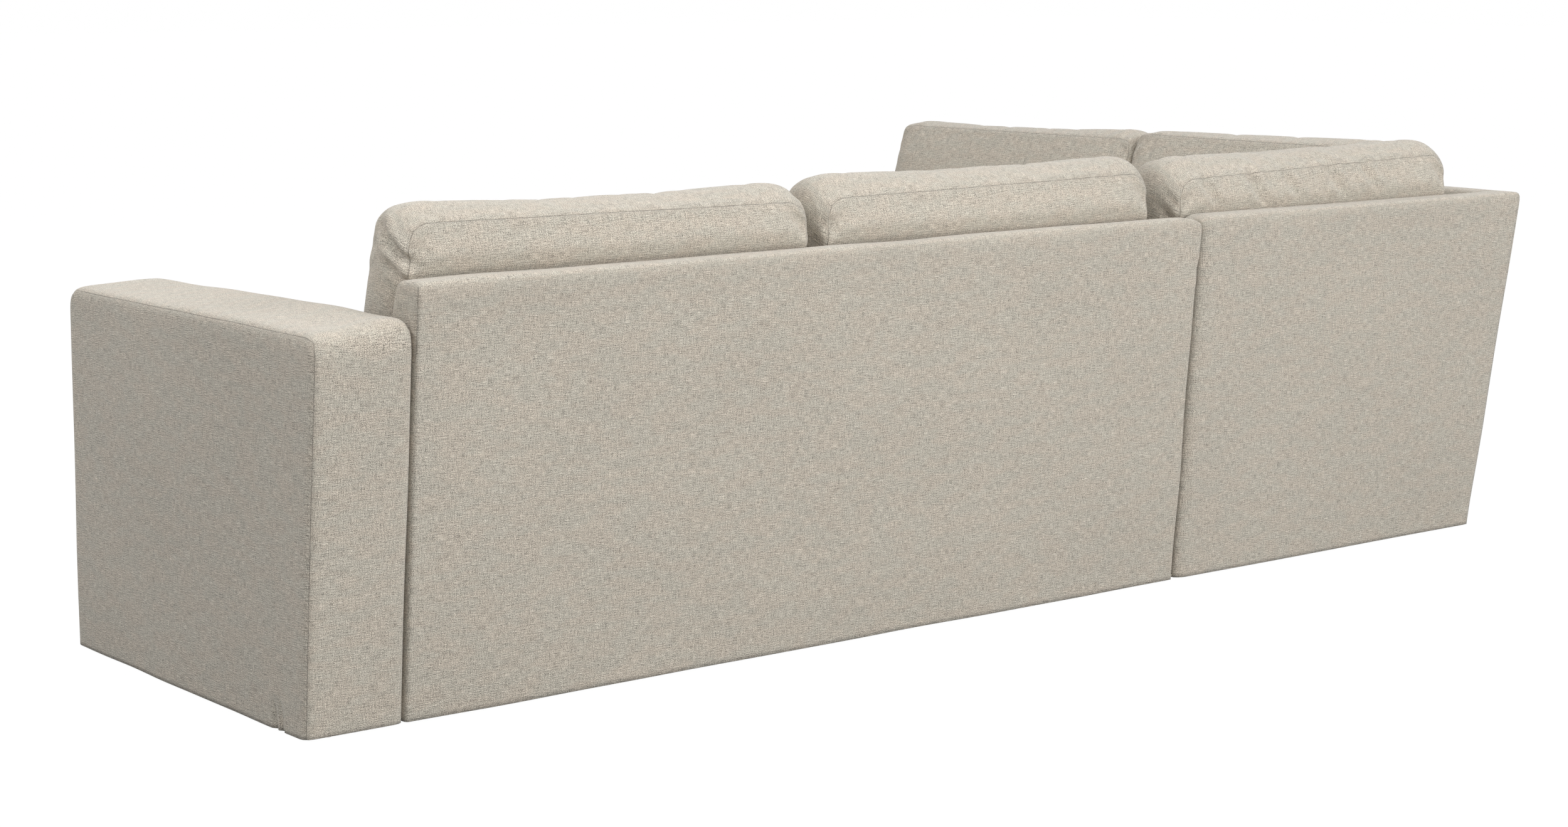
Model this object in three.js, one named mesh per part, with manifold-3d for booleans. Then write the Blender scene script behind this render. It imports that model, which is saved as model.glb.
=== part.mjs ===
import * as THREE from 'three';
import { mergeVertices } from 'three/addons/utils/BufferGeometryUtils.js';
import Module from 'manifold-3d';

// A sectional sofa in two units: a one-arm sofa, and a corner unit whose seat runs forward as a chaise.
// Millimetres, +Z up. The sofa faces -Y, its arm is at +X and the chaise is at -X.
// Every piece is laid out on a plan: x runs along the back from the outer side of the arm, y runs from
// the foot of the rear back towards the front, and z is the height above the floor.

// Driving dimensions
const sofaUnitLength = 1962;
const chaiseUnitWidth = 931;
const sofaDepth = 846;
const chaiseDepth = 2300;
const sideBackDepth = 1800;
const armWidth = 184;
const armHeight = 656;
const backHeight = 738;
const backTopThickness = 70;
const seatHeight = 450;
const seatCushionThickness = 160;
const backCushionHeight = 368;
const sideCushionHeights = [360, 344];
const backCushionThickness = 145;
const backRakeDegrees = 5;
const cushionLeanDegrees = 15;

// Clearances
const gap = 0.3;
const unitGap = 1;
const cushionGap = 1;
const overrun = 10;

// Upholstery
const coverThickness = 12;
const coverFloorClearance = 8;
const edgeRadius = 24;
const seamRadius = 8;
const hemRadius = 3;
const edgeZone = 14;
const armCrown = 8;
const padThickness = 24;
const armPadThickness = 35;
const dustCoverThickness = 2;

// Frame
const boardThickness = 18;
const railThickness = 24;
const postWidth = 25;
const topRailHeight = 90;
const panelThickness = 5;
const webbingThickness = 3;
const deckPadThickness = 16.4;
const borderLipWidth = 50;
const webbingStrapWidth = 60;
const sofaWebbingHoleCounts = [8, 3];
const chaiseWebbingHoleCounts = [3, 9];

// Cushions
const seatOverhang = 14;
const seatCushionRadius = 28;
const backCushionRadius = 26;
const seatCrown = 16;
const backCushionCrown = 26;
const cushionDrawIn = 6;
const backCushionTopCrown = 4;
const armCushionGap = 20;
const backCushionSlack = 62;
const cornerCushionGap = 21;
const sideCushionMeeting = 925;
const sideCushionLength = 835;

// Glides and connector
const glideRadius = 20;
const glideInset = 40;
const glideRim = 2;
const bracketLength = 80;
const bracketPlateThickness = 3;
const bracketPlateHeight = 96;
const bracketDrop = 163;
const hookWidth = 9;
const tongueHeight = 40;
const tongueClearance = 0.6;
const bracketWindowMargin = 10;
const unhookLift = 60;

// Derived heights, from the floor up
const deckHeight = seatHeight - seatCushionThickness;
const tuckHeight = deckHeight - gap - deckPadThickness;
const webbingTop = tuckHeight - gap;
const railTop = webbingTop - webbingThickness - gap;
const railBottom = coverFloorClearance + dustCoverThickness + gap;
const glideHeight = coverFloorClearance - gap;
const totalUnitLength = sofaUnitLength + chaiseUnitWidth;

// The backs: outer faces lean out from the foot, inner faces lean as the cushions do
const backRake = Math.tan(THREE.MathUtils.degToRad(backRakeDegrees));
const cushionLean = THREE.MathUtils.degToRad(cushionLeanDegrees);
const rearOut = z => -backRake * z;
const rearIn = z => rearOut(backHeight) + backTopThickness + (backHeight - z) * Math.tan(cushionLean);
const sideOut = z => totalUnitLength + backRake * z;
const sideIn = z => totalUnitLength - rearIn(z);
const rearInAboveDeck = z => rearIn(Math.max(z, deckHeight));
const sideInAboveDeck = z => sideIn(Math.max(z, deckHeight));

// Units meet on this plane
const sofaEnd = sofaUnitLength - unitGap / 2;
const chaiseStart = sofaUnitLength + unitGap / 2;

// Materials
const finish = (color, roughness, metalness = 0) => {
  return new THREE.MeshStandardMaterial({ color, roughness, metalness });
};
const fabric = finish('#bab2a6', 0.95);
const foam = finish('#efe3b4', 0.9);
const timber = finish('#c9a777', 0.7);
const fibreboard = finish('#8a6a48', 0.85);
const webbing = finish('#4b4a48', 0.8);
const deckCloth = finish('#a59c8f', 0.95);
const dustCloth = finish('#1f1f20', 0.95);
const steel = finish('#8d8f92', 0.4, 1);
const plastic = finish('#161616', 0.5);

const sofa = new THREE.Group();
const plan = new THREE.Group();
sofa.add(plan);

function addPiece(name, geometry, material) {
  const mesh = new THREE.Mesh(geometry, material);
  mesh.name = name;
  plan.add(mesh);
  return mesh;
}

function addBoard(name, [x0, x1], [y0, y1], [z0, z1], material = timber) {
  const mesh = addPiece(name, new THREE.BoxGeometry(x1 - x0, y1 - y0, z1 - z0), material);
  mesh.position.set((x0 + x1) / 2, (y0 + y1) / 2, (z0 + z1) / 2);
}

// A level is one horizontal section: its four corners, anticlockwise from low x and low y
function level(x, y, z) {
  const along = end => (typeof x[end] === 'function' ? x[end](z) : x[end]);
  const across = end => (typeof y[end] === 'function' ? y[end](z) : y[end]);
  return [
    [along(0), across(0), z],
    [along(1), across(0), z],
    [along(1), across(1), z],
    [along(0), across(1), z],
  ];
}

const levels = (x, y, heights) => heights.map(z => level(x, y, z));

// A flat-faced solid through the given levels
function prism(sections) {
  const positions = sections.flat(2);
  const ring = sections[0].length;
  const faces = [];
  for (let k = 0; k + 1 < sections.length; k += 1) {
    for (let i = 0; i < ring; i += 1) {
      const a = k * ring + i;
      const b = k * ring + (i + 1) % ring;
      faces.push(a, b, b + ring, a, b + ring, a + ring);
    }
  }
  const top = (sections.length - 1) * ring;
  faces.push(0, 2, 1, 0, 3, 2);
  faces.push(top, top + 1, top + 2, top, top + 2, top + 3);
  const geometry = new THREE.BufferGeometry();
  geometry.setAttribute('position', new THREE.Float32BufferAttribute(positions, 3));
  geometry.setIndex(faces);
  return geometry;
}

// A padded solid through the given levels: rounded edges, crowned or drawn-in faces.
// radius gives the rounding at each face and swell how far each face stands proud. The swelling falls
// away to nothing at the edges from a plateau, given in shares of the solid. Each is [low, high] for x,
// y and z.
function paddedSolid(sections, { radius, swell = {}, plateau = {}, counts = [5, 5, 6] }) {
  const corners = sections.map(section => section.map(corner => new THREE.Vector3(...corner)));
  const bottom = corners[0];
  const top = corners[corners.length - 1];
  const mean = pairs => pairs.reduce((sum, [a, b]) => sum + a.distanceTo(b), 0) / pairs.length;
  const half = [
    mean([[bottom[0], bottom[1]], [bottom[3], bottom[2]], [top[0], top[1]], [top[3], top[2]]]) / 2,
    mean([[bottom[0], bottom[3]], [bottom[1], bottom[2]], [top[0], top[3]], [top[1], top[2]]]) / 2,
    mean(bottom.map((corner, i) => [corner, top[i]])) / 2,
  ];
  const axes = ['x', 'y', 'z'];
  const spans = corners.slice(1).map((section, i) => section[0].z - corners[i][0].z);
  const rise = spans.reduce((sum, value) => sum + value, 0);

  // Grid rows crowd towards the edges, so that the rounding has its own rows. The row nearest to a
  // place where the form changes moves onto it.
  const rows = axes.map((axis, k) => {
    const [low, high] = radius[axis].map(r => Math.max(r, edgeZone));
    const n = counts[k];
    const row = i => {
      if (i <= 2) return -half[k] + low * i / 2;
      if (i >= n - 2) return half[k] - high * (n - i) / 2;
      return THREE.MathUtils.lerp(low - half[k], half[k] - high, (i - 2) / (n - 4));
    };
    const list = Array.from({ length: n + 1 }, (_, i) => row(i));
    const changes = (plateau[axis] ?? []).filter(share => share > 0 && share < 1);
    if (k === 2 && spans.length > 1) changes.push(spans[0] / rise);
    changes.forEach(share => {
      const at = (2 * share - 1) * half[k];
      const inner = list.slice(3, n - 2);
      const nearest = inner.reduce((best, value) => {
        return Math.abs(value - at) < Math.abs(best - at) ? value : best;
      });
      list[list.indexOf(nearest)] = at;
    });
    return list;
  });
  const spread = (t, k) => rows[k][Math.round((t + 1) / 2 * counts[k])];

  const bump = (p, k) => {
    const [low, high] = plateau[axes[k]] ?? [0.5, 0.5];
    const share = (p[k] / half[k] + 1) / 2;
    if (share < low) return 1 - ((low - share) / low) ** 4;
    return share > high ? 1 - ((share - high) / (1 - high)) ** 4 : 1;
  };

  const place = p => {
    const direction = p.map((value, k) => {
      const [low, high] = radius[axes[k]];
      const core = THREE.MathUtils.clamp(value, low - half[k], half[k] - high);
      return value < core ? (value - core) / low : (value - core) / high;
    });
    const length = Math.hypot(...direction);
    return p.map((value, k) => {
      const [low, high] = radius[axes[k]];
      const core = THREE.MathUtils.clamp(value, low - half[k], half[k] - high);
      const normal = direction[k] / length;
      const round = core + normal * (normal < 0 ? low : high);
      const proud = (swell[axes[k]] ?? [0, 0])[normal < 0 ? 0 : 1];
      const others = [0, 1, 2].filter(other => other !== k);
      return round + normal * proud * bump(p, others[0]) * bump(p, others[1]);
    });
  };

  // From the upright block to the real corners
  const carry = p => {
    const u = (p[0] / half[0] + 1) / 2;
    const v = (p[1] / half[1] + 1) / 2;
    let w = (p[2] / half[2] + 1) / 2 * rise;
    let k = 0;
    while (k + 1 < spans.length && w > spans[k]) {
      w -= spans[k];
      k += 1;
    }
    w /= spans[k];
    const onLevel = section => {
      const near = section[0].clone().lerp(section[1], u);
      const far = section[3].clone().lerp(section[2], u);
      return near.lerp(far, v);
    };
    return onLevel(corners[k]).lerp(onLevel(corners[k + 1]), w);
  };

  const geometry = new THREE.BoxGeometry(2, 2, 2, ...counts);
  geometry.deleteAttribute('normal');
  geometry.deleteAttribute('uv');
  const position = geometry.attributes.position;
  for (let i = 0; i < position.count; i += 1) {
    const unit = [position.getX(i), position.getY(i), position.getZ(i)];
    const point = carry(place(unit.map(spread)));
    position.setXYZ(i, point.x, point.y, point.z);
  }
  return mergeVertices(geometry);
}

// Solids are cut with manifold-3d
const wasm = await Module();
wasm.setup();

function toSolid(geometry) {
  const bare = geometry.clone();
  bare.deleteAttribute('normal');
  bare.deleteAttribute('uv');
  const merged = mergeVertices(bare);
  const vertProperties = new Float32Array(merged.attributes.position.array);
  const triVerts = new Uint32Array(merged.index.array);
  return new wasm.Manifold(new wasm.Mesh({ numProp: 3, vertProperties, triVerts }));
}

function cut(geometry, ...tools) {
  const solid = tools.reduce((rest, tool) => rest.subtract(toSolid(tool)), toSolid(geometry));
  const { vertProperties, triVerts } = solid.getMesh();
  const result = new THREE.BufferGeometry();
  result.setAttribute('position', new THREE.Float32BufferAttribute(vertProperties, 3));
  result.setIndex(Array.from(triVerts));
  return result;
}

const underFloor = -overrun;
const shifted = (edge, distance) => z => (typeof edge === 'function' ? edge(z) : edge) + distance;

// Arm: a padded cover over a box of boards, with a foam pad on top
function buildArm() {
  const outer = levels([0, armWidth], [rearOut, sofaDepth], [coverFloorClearance, armHeight]);
  const shape = paddedSolid(outer, {
    radius: { x: [edgeRadius, edgeRadius], y: [edgeRadius, edgeRadius], z: [hemRadius, edgeRadius] },
    swell: { z: [0, armCrown] },
    counts: [6, 6, 6],
  });
  const insideX = [coverThickness, armWidth - coverThickness];
  const insideRear = shifted(rearOut, coverThickness);
  const insideFront = sofaDepth - coverThickness;
  const insideTop = armHeight - coverThickness;
  const hollow = prism(levels(insideX, [insideRear, insideFront], [underFloor, insideTop]));
  const clothRoom = levels([insideX[0], armWidth + overrun], [insideRear, insideFront], [underFloor, railBottom]);
  addPiece('arm_cover', cut(shape, hollow, prism(clothRoom)), fabric);

  const x = [insideX[0] + gap, insideX[1] - gap];
  const padTop = insideTop - gap;
  const padBottom = padTop - armPadThickness;
  const boardTop = padBottom - gap;
  const boardBottom = boardTop - boardThickness;
  const uprightTop = boardBottom - gap;
  const rear = shifted(insideRear, gap);
  const front = insideFront - gap;
  addPiece('arm_top_pad', prism(levels(x, [rear, front], [padBottom, padTop])), foam);
  addPiece('arm_top_board', prism(levels(x, [rear, front], [boardBottom, boardTop])), timber);
  const uprightZ = [railBottom, uprightTop];
  addBoard('arm_front_board', x, [front - boardThickness, front], uprightZ);
  const rearBoard = levels(x, [rear, shifted(rear, boardThickness)], uprightZ);
  addPiece('arm_rear_board', prism(rearBoard), timber);
  const panelY = [shifted(rear, boardThickness + gap), front - boardThickness - gap];
  const panel = levels([x[0], x[0] + panelThickness], panelY, uprightZ);
  addPiece('arm_outer_panel', prism(panel), fibreboard);
}

// A rear back: cover, foam pad, top rail and posts. It runs from x0 to x1, which may lean.
function rearBackShape(x, radiusX) {
  const heights = [coverFloorClearance, deckHeight, backHeight];
  return paddedSolid(levels(x, [rearOut, rearInAboveDeck], heights), {
    radius: { x: radiusX, y: [edgeRadius, edgeRadius], z: [hemRadius, edgeRadius] },
  });
}

const padRear = shifted(rearIn, -coverThickness - gap - padThickness);
const postFoot = padRear(deckHeight) - gap;
const rearInner = shifted(rearOut, coverThickness + gap);

function buildRearBack(unit, x, radiusX, hollowX, postPlaces) {
  const insideTop = backHeight - coverThickness;
  const above = prism(levels(
    hollowX,
    [shifted(rearOut, coverThickness), shifted(rearInAboveDeck, -coverThickness)],
    [tuckHeight, deckHeight, insideTop],
  ));
  const overX = [shifted(x[0], -overrun), shifted(x[1], unit === 'corner' ? -coverThickness : overrun)];
  const below = prism(levels(
    overX,
    [shifted(rearOut, coverThickness), shifted(rearInAboveDeck, overrun)],
    [underFloor, tuckHeight],
  ));
  addPiece(`${unit}_back_cover`, cut(rearBackShape(x, radiusX), above, below), fabric);

  const insideX = [shifted(hollowX[0], gap), shifted(hollowX[1], -gap)];
  const padTop = insideTop - gap;
  const padY = [padRear, shifted(padRear, padThickness)];
  addPiece(`${unit}_back_pad`, prism(levels(insideX, padY, [deckHeight, padTop])), foam);

  const railBase = padTop - topRailHeight;
  const railY = [rearInner, shifted(padRear, -gap)];
  addPiece(`${unit}_back_top_rail`, prism(levels(insideX, railY, [railBase, padTop])), timber);

  const postFront = z => (z < deckHeight ? postFoot : padRear(z) - gap);
  postPlaces.forEach(([name, postX]) => {
    const post = prism(levels(postX, [rearInner, postFront], [railBottom, deckHeight, railBase - gap]));
    addPiece(`${unit}_${name}`, post, timber);
  });
}

// Seat webbing: straps both ways, woven into one panel
function addWebbing(name, [x0, x1], [y0, y1], [columns, rows]) {
  const pitchX = (x1 - x0 - webbingStrapWidth) / columns;
  const pitchY = (y1 - y0 - webbingStrapWidth) / rows;
  const base = railTop + gap;
  const holes = [];
  for (let i = 0; i < columns; i += 1) {
    for (let j = 0; j < rows; j += 1) {
      const left = x0 + webbingStrapWidth + i * pitchX;
      const near = y0 + webbingStrapWidth + j * pitchY;
      const holeX = [left, left + pitchX - webbingStrapWidth];
      const holeY = [near, near + pitchY - webbingStrapWidth];
      holes.push(prism(levels(holeX, holeY, [base - overrun, webbingTop + overrun])));
    }
  }
  const sheet = prism(levels([x0, x1], [y0, y1], [base, base + webbingThickness]));
  addPiece(name, cut(sheet, ...holes), webbing);
}

const glideProfile = [
  new THREE.Vector2(0, 0),
  new THREE.Vector2(glideRadius - glideRim, 0),
  new THREE.Vector2(glideRadius, glideRim),
  new THREE.Vector2(glideRadius, glideHeight),
  new THREE.Vector2(0, glideHeight),
];

function addGlide(name, x, y) {
  const mesh = addPiece(name, new THREE.LatheGeometry(glideProfile, 12), plastic);
  mesh.rotation.x = Math.PI / 2;
  mesh.position.set(x, y, 0);
}

// Rail places shared by both units
const rearRailY = [postFoot + gap, postFoot + gap + railThickness];
const railZ = [railBottom, railTop];
const dustZ = [coverFloorClearance, coverFloorClearance + dustCoverThickness];
const deckZ = [tuckHeight, deckHeight - gap];

// The window in the side covers where the connector brackets meet
const bracketY = [(sofaDepth - bracketLength) / 2, (sofaDepth + bracketLength) / 2];
const windowY = [bracketY[0] - bracketWindowMargin, bracketY[1] + bracketWindowMargin];
const bracketBottom = tuckHeight - bracketDrop;
const hookTop = bracketBottom + tongueHeight + tongueClearance + bracketPlateThickness + unhookLift;
const windowTop = Math.max(hookTop, bracketBottom + bracketPlateHeight) + bracketWindowMargin;
const windowZ = [bracketBottom - bracketWindowMargin, windowTop];
const bracketWindow = x => prism(levels(x, windowY, windowZ));

function buildSofaBase() {
  const innerX = [armWidth + gap, sofaEnd - coverThickness - gap];
  const frontFace = sofaDepth - coverThickness;
  const frontRailY = [frontFace - gap - railThickness, frontFace - gap];
  const endRailY = [rearRailY[1] + gap, frontRailY[0] - gap];
  addBoard('sofa_front_rail', innerX, frontRailY, railZ);
  addBoard('sofa_rear_rail', innerX, rearRailY, railZ);
  addBoard('sofa_arm_side_rail', [innerX[0], innerX[0] + railThickness], endRailY, railZ);
  addBoard('sofa_joint_side_rail', [innerX[1] - railThickness, innerX[1]], endRailY, railZ);
  const middle = (innerX[0] + innerX[1]) / 2;
  addBoard('sofa_centre_rail', [middle - railThickness / 2, middle + railThickness / 2], endRailY, railZ);
  addWebbing('sofa_seat_webbing', innerX, [rearRailY[0], frontRailY[1]], sofaWebbingHoleCounts);

  const lipY = sofaDepth - borderLipWidth;
  const deckY = [rearIn(deckHeight) + gap, lipY - gap];
  addBoard('sofa_deck_pad', [innerX[0], sofaEnd], deckY, deckZ, deckCloth);
  const dustY = [coverThickness + gap, frontFace - gap];
  addBoard('sofa_dust_cover', [coverThickness + gap, innerX[1]], dustY, dustZ, dustCloth);

  const borderX = [armWidth + gap, sofaEnd];
  const borderOuter = levels(borderX, [lipY, sofaDepth], [coverFloorClearance, deckHeight]);
  const border = paddedSolid(borderOuter, {
    radius: { x: [hemRadius, seamRadius], y: [hemRadius, edgeRadius], z: [hemRadius, edgeRadius] },
  });
  const behind = prism(levels(
    [borderX[0] - overrun, borderX[1] + overrun],
    [lipY - overrun, frontFace],
    [underFloor, tuckHeight],
  ));
  addPiece('sofa_front_border_cover', cut(border, behind), fabric);

  const sideX = [sofaEnd - coverThickness, sofaEnd];
  const sideY = [shifted(rearOut, coverThickness + gap), frontFace - gap];
  const side = prism(levels(sideX, sideY, [coverFloorClearance, tuckHeight - gap]));
  const windowX = [sideX[0] - overrun, sideX[1] + overrun];
  addPiece('sofa_joint_side_cover', cut(side, bracketWindow(windowX)), fabric);

  const armGlideX = coverThickness + glideInset;
  const jointGlideX = innerX[1] - glideInset;
  const glideY = [rearRailY[0], frontRailY[0]];
  addGlide('sofa_glide_arm_rear', armGlideX, coverThickness + boardThickness);
  addGlide('sofa_glide_arm_front', armGlideX, frontRailY[0]);
  addGlide('sofa_glide_joint_rear', jointGlideX, glideY[0]);
  addGlide('sofa_glide_joint_front', jointGlideX, glideY[1]);
}

// The side back of the corner unit runs forward from the rear back
function buildSideBack() {
  const y = [shifted(rearInAboveDeck, gap), sideBackDepth];
  const heights = [coverFloorClearance, deckHeight, backHeight];
  const shape = paddedSolid(levels([sideInAboveDeck, sideOut], y, heights), {
    radius: { x: [edgeRadius, edgeRadius], y: [seamRadius, edgeRadius], z: [hemRadius, edgeRadius] },
  });
  const insideTop = backHeight - coverThickness;
  const hollowY = [shifted(y[0], coverThickness), sideBackDepth - coverThickness];
  const above = prism(levels(
    [shifted(sideInAboveDeck, coverThickness), shifted(sideOut, -coverThickness)],
    hollowY,
    [tuckHeight, deckHeight, insideTop],
  ));
  const below = prism(levels(
    [shifted(sideInAboveDeck, -overrun), shifted(sideOut, -coverThickness)],
    [shifted(y[0], -overrun), sideBackDepth + overrun],
    [underFloor, tuckHeight],
  ));
  addPiece('side_back_cover', cut(shape, above, below), fabric);

  const padOut = shifted(sideIn, coverThickness + gap + padThickness);
  const padTop = insideTop - gap;
  const insideY = [shifted(hollowY[0], gap), hollowY[1] - gap];
  const pad = levels([shifted(padOut, -padThickness), padOut], insideY, [deckHeight, padTop]);
  addPiece('side_back_pad', prism(pad), foam);
  const outerX = shifted(sideOut, -coverThickness - gap);
  const railBase = padTop - topRailHeight;
  const rail = levels([shifted(padOut, gap), outerX], insideY, [railBase, padTop]);
  addPiece('side_back_top_rail', prism(rail), timber);
  const postInner = z => (z < deckHeight ? padOut(deckHeight) + gap : padOut(z) + gap);
  const postY = {
    side_back_corner_post: insideY[0](railBottom),
    side_back_middle_post: (sideBackDepth - postWidth) / 2,
    side_back_front_post: insideY[1] - postWidth,
  };
  Object.entries(postY).forEach(([name, near]) => {
    const heightsOfPost = [railBottom, deckHeight, railBase - gap];
    addPiece(name, prism(levels([postInner, outerX], [near, near + postWidth], heightsOfPost)), timber);
  });
}

function buildChaiseBase() {
  const wallX = chaiseStart + coverThickness;
  const innerRailX = [wallX + gap, wallX + gap + railThickness];
  const sidePostFoot = totalUnitLength - postFoot;
  const outerRailX = [sidePostFoot - gap - railThickness, sidePostFoot - gap];
  const frontFace = chaiseDepth - coverThickness;
  const frontRailY = [frontFace - gap - railThickness, frontFace - gap];
  const sideRailY = [rearRailY[1] + gap, frontRailY[0] - gap];
  addBoard('chaise_rear_rail', [innerRailX[0], outerRailX[1]], rearRailY, railZ);
  addBoard('chaise_joint_side_rail', innerRailX, sideRailY, railZ);
  addBoard('chaise_outer_rail', outerRailX, sideRailY, railZ);
  const outerFace = shifted(sideOut, -coverThickness - gap);
  const frontRail = levels([innerRailX[0], outerFace], frontRailY, railZ);
  addPiece('chaise_front_rail', prism(frontRail), timber);
  const webbingX = [innerRailX[0], outerRailX[1]];
  addWebbing('chaise_seat_webbing', webbingX, [rearRailY[0], frontRailY[1]], chaiseWebbingHoleCounts);

  // Behind the side back's end the deck runs out to the outer border
  const lip = { inner: chaiseStart + borderLipWidth, front: chaiseDepth - borderLipWidth };
  const outerLip = shifted(sideOut, -borderLipWidth);
  const deckY = [rearIn(deckHeight) + gap, lip.front - gap];
  const deckBlock = prism(levels([lip.inner + gap, shifted(outerLip, -gap)], deckY, deckZ));
  const sideBackRoom = prism(levels(
    [sideIn(deckHeight) - gap, totalUnitLength + overrun],
    [rearIn(deckHeight) - overrun, sideBackDepth + gap],
    [tuckHeight - overrun, deckHeight + overrun],
  ));
  addPiece('chaise_deck_pad', cut(deckBlock, sideBackRoom), deckCloth);
  const dustY = [coverThickness + gap, frontFace - gap];
  const dust = levels([innerRailX[0], outerFace], dustY, dustZ);
  addPiece('chaise_dust_cover', prism(dust), dustCloth);

  const softEdge = { x: [seamRadius, hemRadius], y: [hemRadius, hemRadius], z: [hemRadius, edgeRadius] };
  const innerY = [shifted(rearOut, coverThickness + gap), lip.front - gap];
  const innerX = [chaiseStart, lip.inner];
  const innerShape = paddedSolid(levels(innerX, innerY, [coverFloorClearance, deckHeight]), {
    radius: { ...softEdge, x: [edgeRadius, hemRadius] },
  });
  const innerHollow = prism(levels(
    [wallX, lip.inner + overrun],
    [rearOut(deckHeight) - overrun, lip.front + overrun],
    [underFloor, tuckHeight],
  ));
  const backRoom = prism(levels(
    [chaiseStart - overrun, lip.inner + overrun],
    [rearOut(deckHeight) - overrun, rearIn(deckHeight) + gap],
    [tuckHeight - gap, deckHeight + overrun],
  ));
  const windowX = [chaiseStart - overrun, wallX + overrun];
  const window = bracketWindow(windowX);
  addPiece('chaise_joint_side_cover', cut(innerShape, innerHollow, backRoom, window), fabric);

  const frontShape = paddedSolid(
    levels([chaiseStart, sideOut], [lip.front, chaiseDepth], [coverFloorClearance, deckHeight]),
    { radius: { x: [edgeRadius, edgeRadius], y: [hemRadius, edgeRadius], z: [hemRadius, edgeRadius] } },
  );
  const frontHollow = prism(levels(
    [wallX, shifted(sideOut, -coverThickness)],
    [lip.front - overrun, frontFace],
    [underFloor, tuckHeight],
  ));
  addPiece('chaise_front_border_cover', cut(frontShape, frontHollow), fabric);

  const outerY = [sideBackDepth + gap, lip.front - gap];
  const outerShape = paddedSolid(
    levels([outerLip, sideOut], outerY, [coverFloorClearance, deckHeight]),
    { radius: { x: [hemRadius, edgeRadius], y: [hemRadius, hemRadius], z: [hemRadius, edgeRadius] } },
  );
  const outerHollow = prism(levels(
    [shifted(outerLip, -overrun), shifted(sideOut, -coverThickness)],
    [outerY[0] - overrun, outerY[1] + overrun],
    [underFloor, tuckHeight],
  ));
  addPiece('chaise_outer_border_cover', cut(outerShape, outerHollow), fabric);

  const glideX = [innerRailX[0] + glideInset, outerRailX[1] - glideInset];
  const glideY = { rear: rearRailY[0], front: frontRailY[0] };
  Object.entries(glideY).forEach(([place, y]) => {
    addGlide(`chaise_glide_joint_${place}`, glideX[0], y);
    addGlide(`chaise_glide_outer_${place}`, glideX[1], y);
  });
}

// Hook brackets: the chaise unit's hook drops behind the sofa unit's tongue
function addBracket(name, outline) {
  const shape = new THREE.Shape(outline.map(([x, z]) => new THREE.Vector2(x, z)));
  const mesh = addPiece(name, new THREE.ExtrudeGeometry(shape, {
    depth: bracketLength,
    bevelEnabled: false,
  }), steel);
  mesh.rotation.x = Math.PI / 2;
  mesh.position.y = bracketY[1];
}

function buildConnector() {
  const plate = bracketPlateThickness;
  const low = bracketBottom;
  const high = low + bracketPlateHeight;
  const sofaFace = sofaEnd - coverThickness;
  const tongueX = sofaFace + hookWidth;
  addBracket('sofa_connector', [
    [sofaFace, low],
    [tongueX + plate, low],
    [tongueX + plate, low + tongueHeight],
    [tongueX, low + tongueHeight],
    [tongueX, low + plate],
    [sofaFace + plate, low + plate],
    [sofaFace + plate, high],
    [sofaFace, high],
  ]);
  const chaiseFace = chaiseStart + coverThickness;
  const hookX = tongueX - tongueClearance;
  const hookLow = low + plate + tongueClearance;
  const shelf = low + tongueHeight + tongueClearance;
  addBracket('chaise_connector', [
    [hookX - plate, hookLow],
    [hookX, hookLow],
    [hookX, shelf],
    [chaiseFace - plate, shelf],
    [chaiseFace - plate, low],
    [chaiseFace, low],
    [chaiseFace, high],
    [chaiseFace - plate, high],
    [chaiseFace - plate, shelf + plate],
    [hookX - plate, shelf + plate],
  ]);
}

// Back cushions stand on the seat and lean on the backs
const cushionReach = backCushionThickness / Math.cos(cushionLean);
const topOf = height => seatHeight + height * Math.cos(cushionLean);
const cushionFrontRise = backCushionThickness * Math.sin(cushionLean);
const cushionFoot = seatHeight + gap;
const cushionFront = shifted(rearIn, cushionReach);
const sideCushionFront = shifted(sideIn, -cushionReach);

// A cushion on the rear back, between two places along it
function rearBackCushion([start, end]) {
  const rear = shifted(rearIn, gap);
  const section = (rearZ, frontZ) => [
    [start, rear(rearZ), rearZ],
    [end, rear(rearZ), rearZ],
    [end, cushionFront(frontZ), frontZ],
    [start, cushionFront(frontZ), frontZ],
  ];
  const rearTop = topOf(backCushionHeight);
  const frontTop = rearTop + cushionFrontRise;
  return paddedSolid([section(cushionFoot, cushionFoot), section(rearTop, frontTop)], {
    radius: {
      x: [backCushionRadius, backCushionRadius],
      y: [backCushionRadius, backCushionRadius],
      z: [backCushionRadius, backCushionRadius],
    },
    swell: {
      x: [-cushionDrawIn, -cushionDrawIn],
      y: [0, backCushionCrown],
      z: [0, backCushionTopCrown],
    },
    counts: [8, 6, 6],
  });
}

// A cushion on the side back, between two planes across it
function sideBackCushion(y, height) {
  const corner = (face, end, z) => [face(z), typeof end === 'function' ? end(z) : end, z];
  const back = shifted(sideIn, -gap);
  const backTop = topOf(height);
  const frontTop = backTop + cushionFrontRise;
  const section = (backZ, frontZ) => [
    corner(sideCushionFront, y[0], frontZ),
    corner(back, y[0], backZ),
    corner(back, y[1], backZ),
    corner(sideCushionFront, y[1], frontZ),
  ];
  return paddedSolid([section(cushionFoot, cushionFoot), section(backTop, frontTop)], {
    radius: {
      x: [backCushionRadius, backCushionRadius],
      y: [backCushionRadius, backCushionRadius],
      z: [backCushionRadius, backCushionRadius],
    },
    swell: {
      x: [backCushionCrown, 0],
      y: [-cushionDrawIn, -cushionDrawIn],
      z: [0, backCushionTopCrown],
    },
    counts: [6, 8, 6],
  });
}

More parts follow.
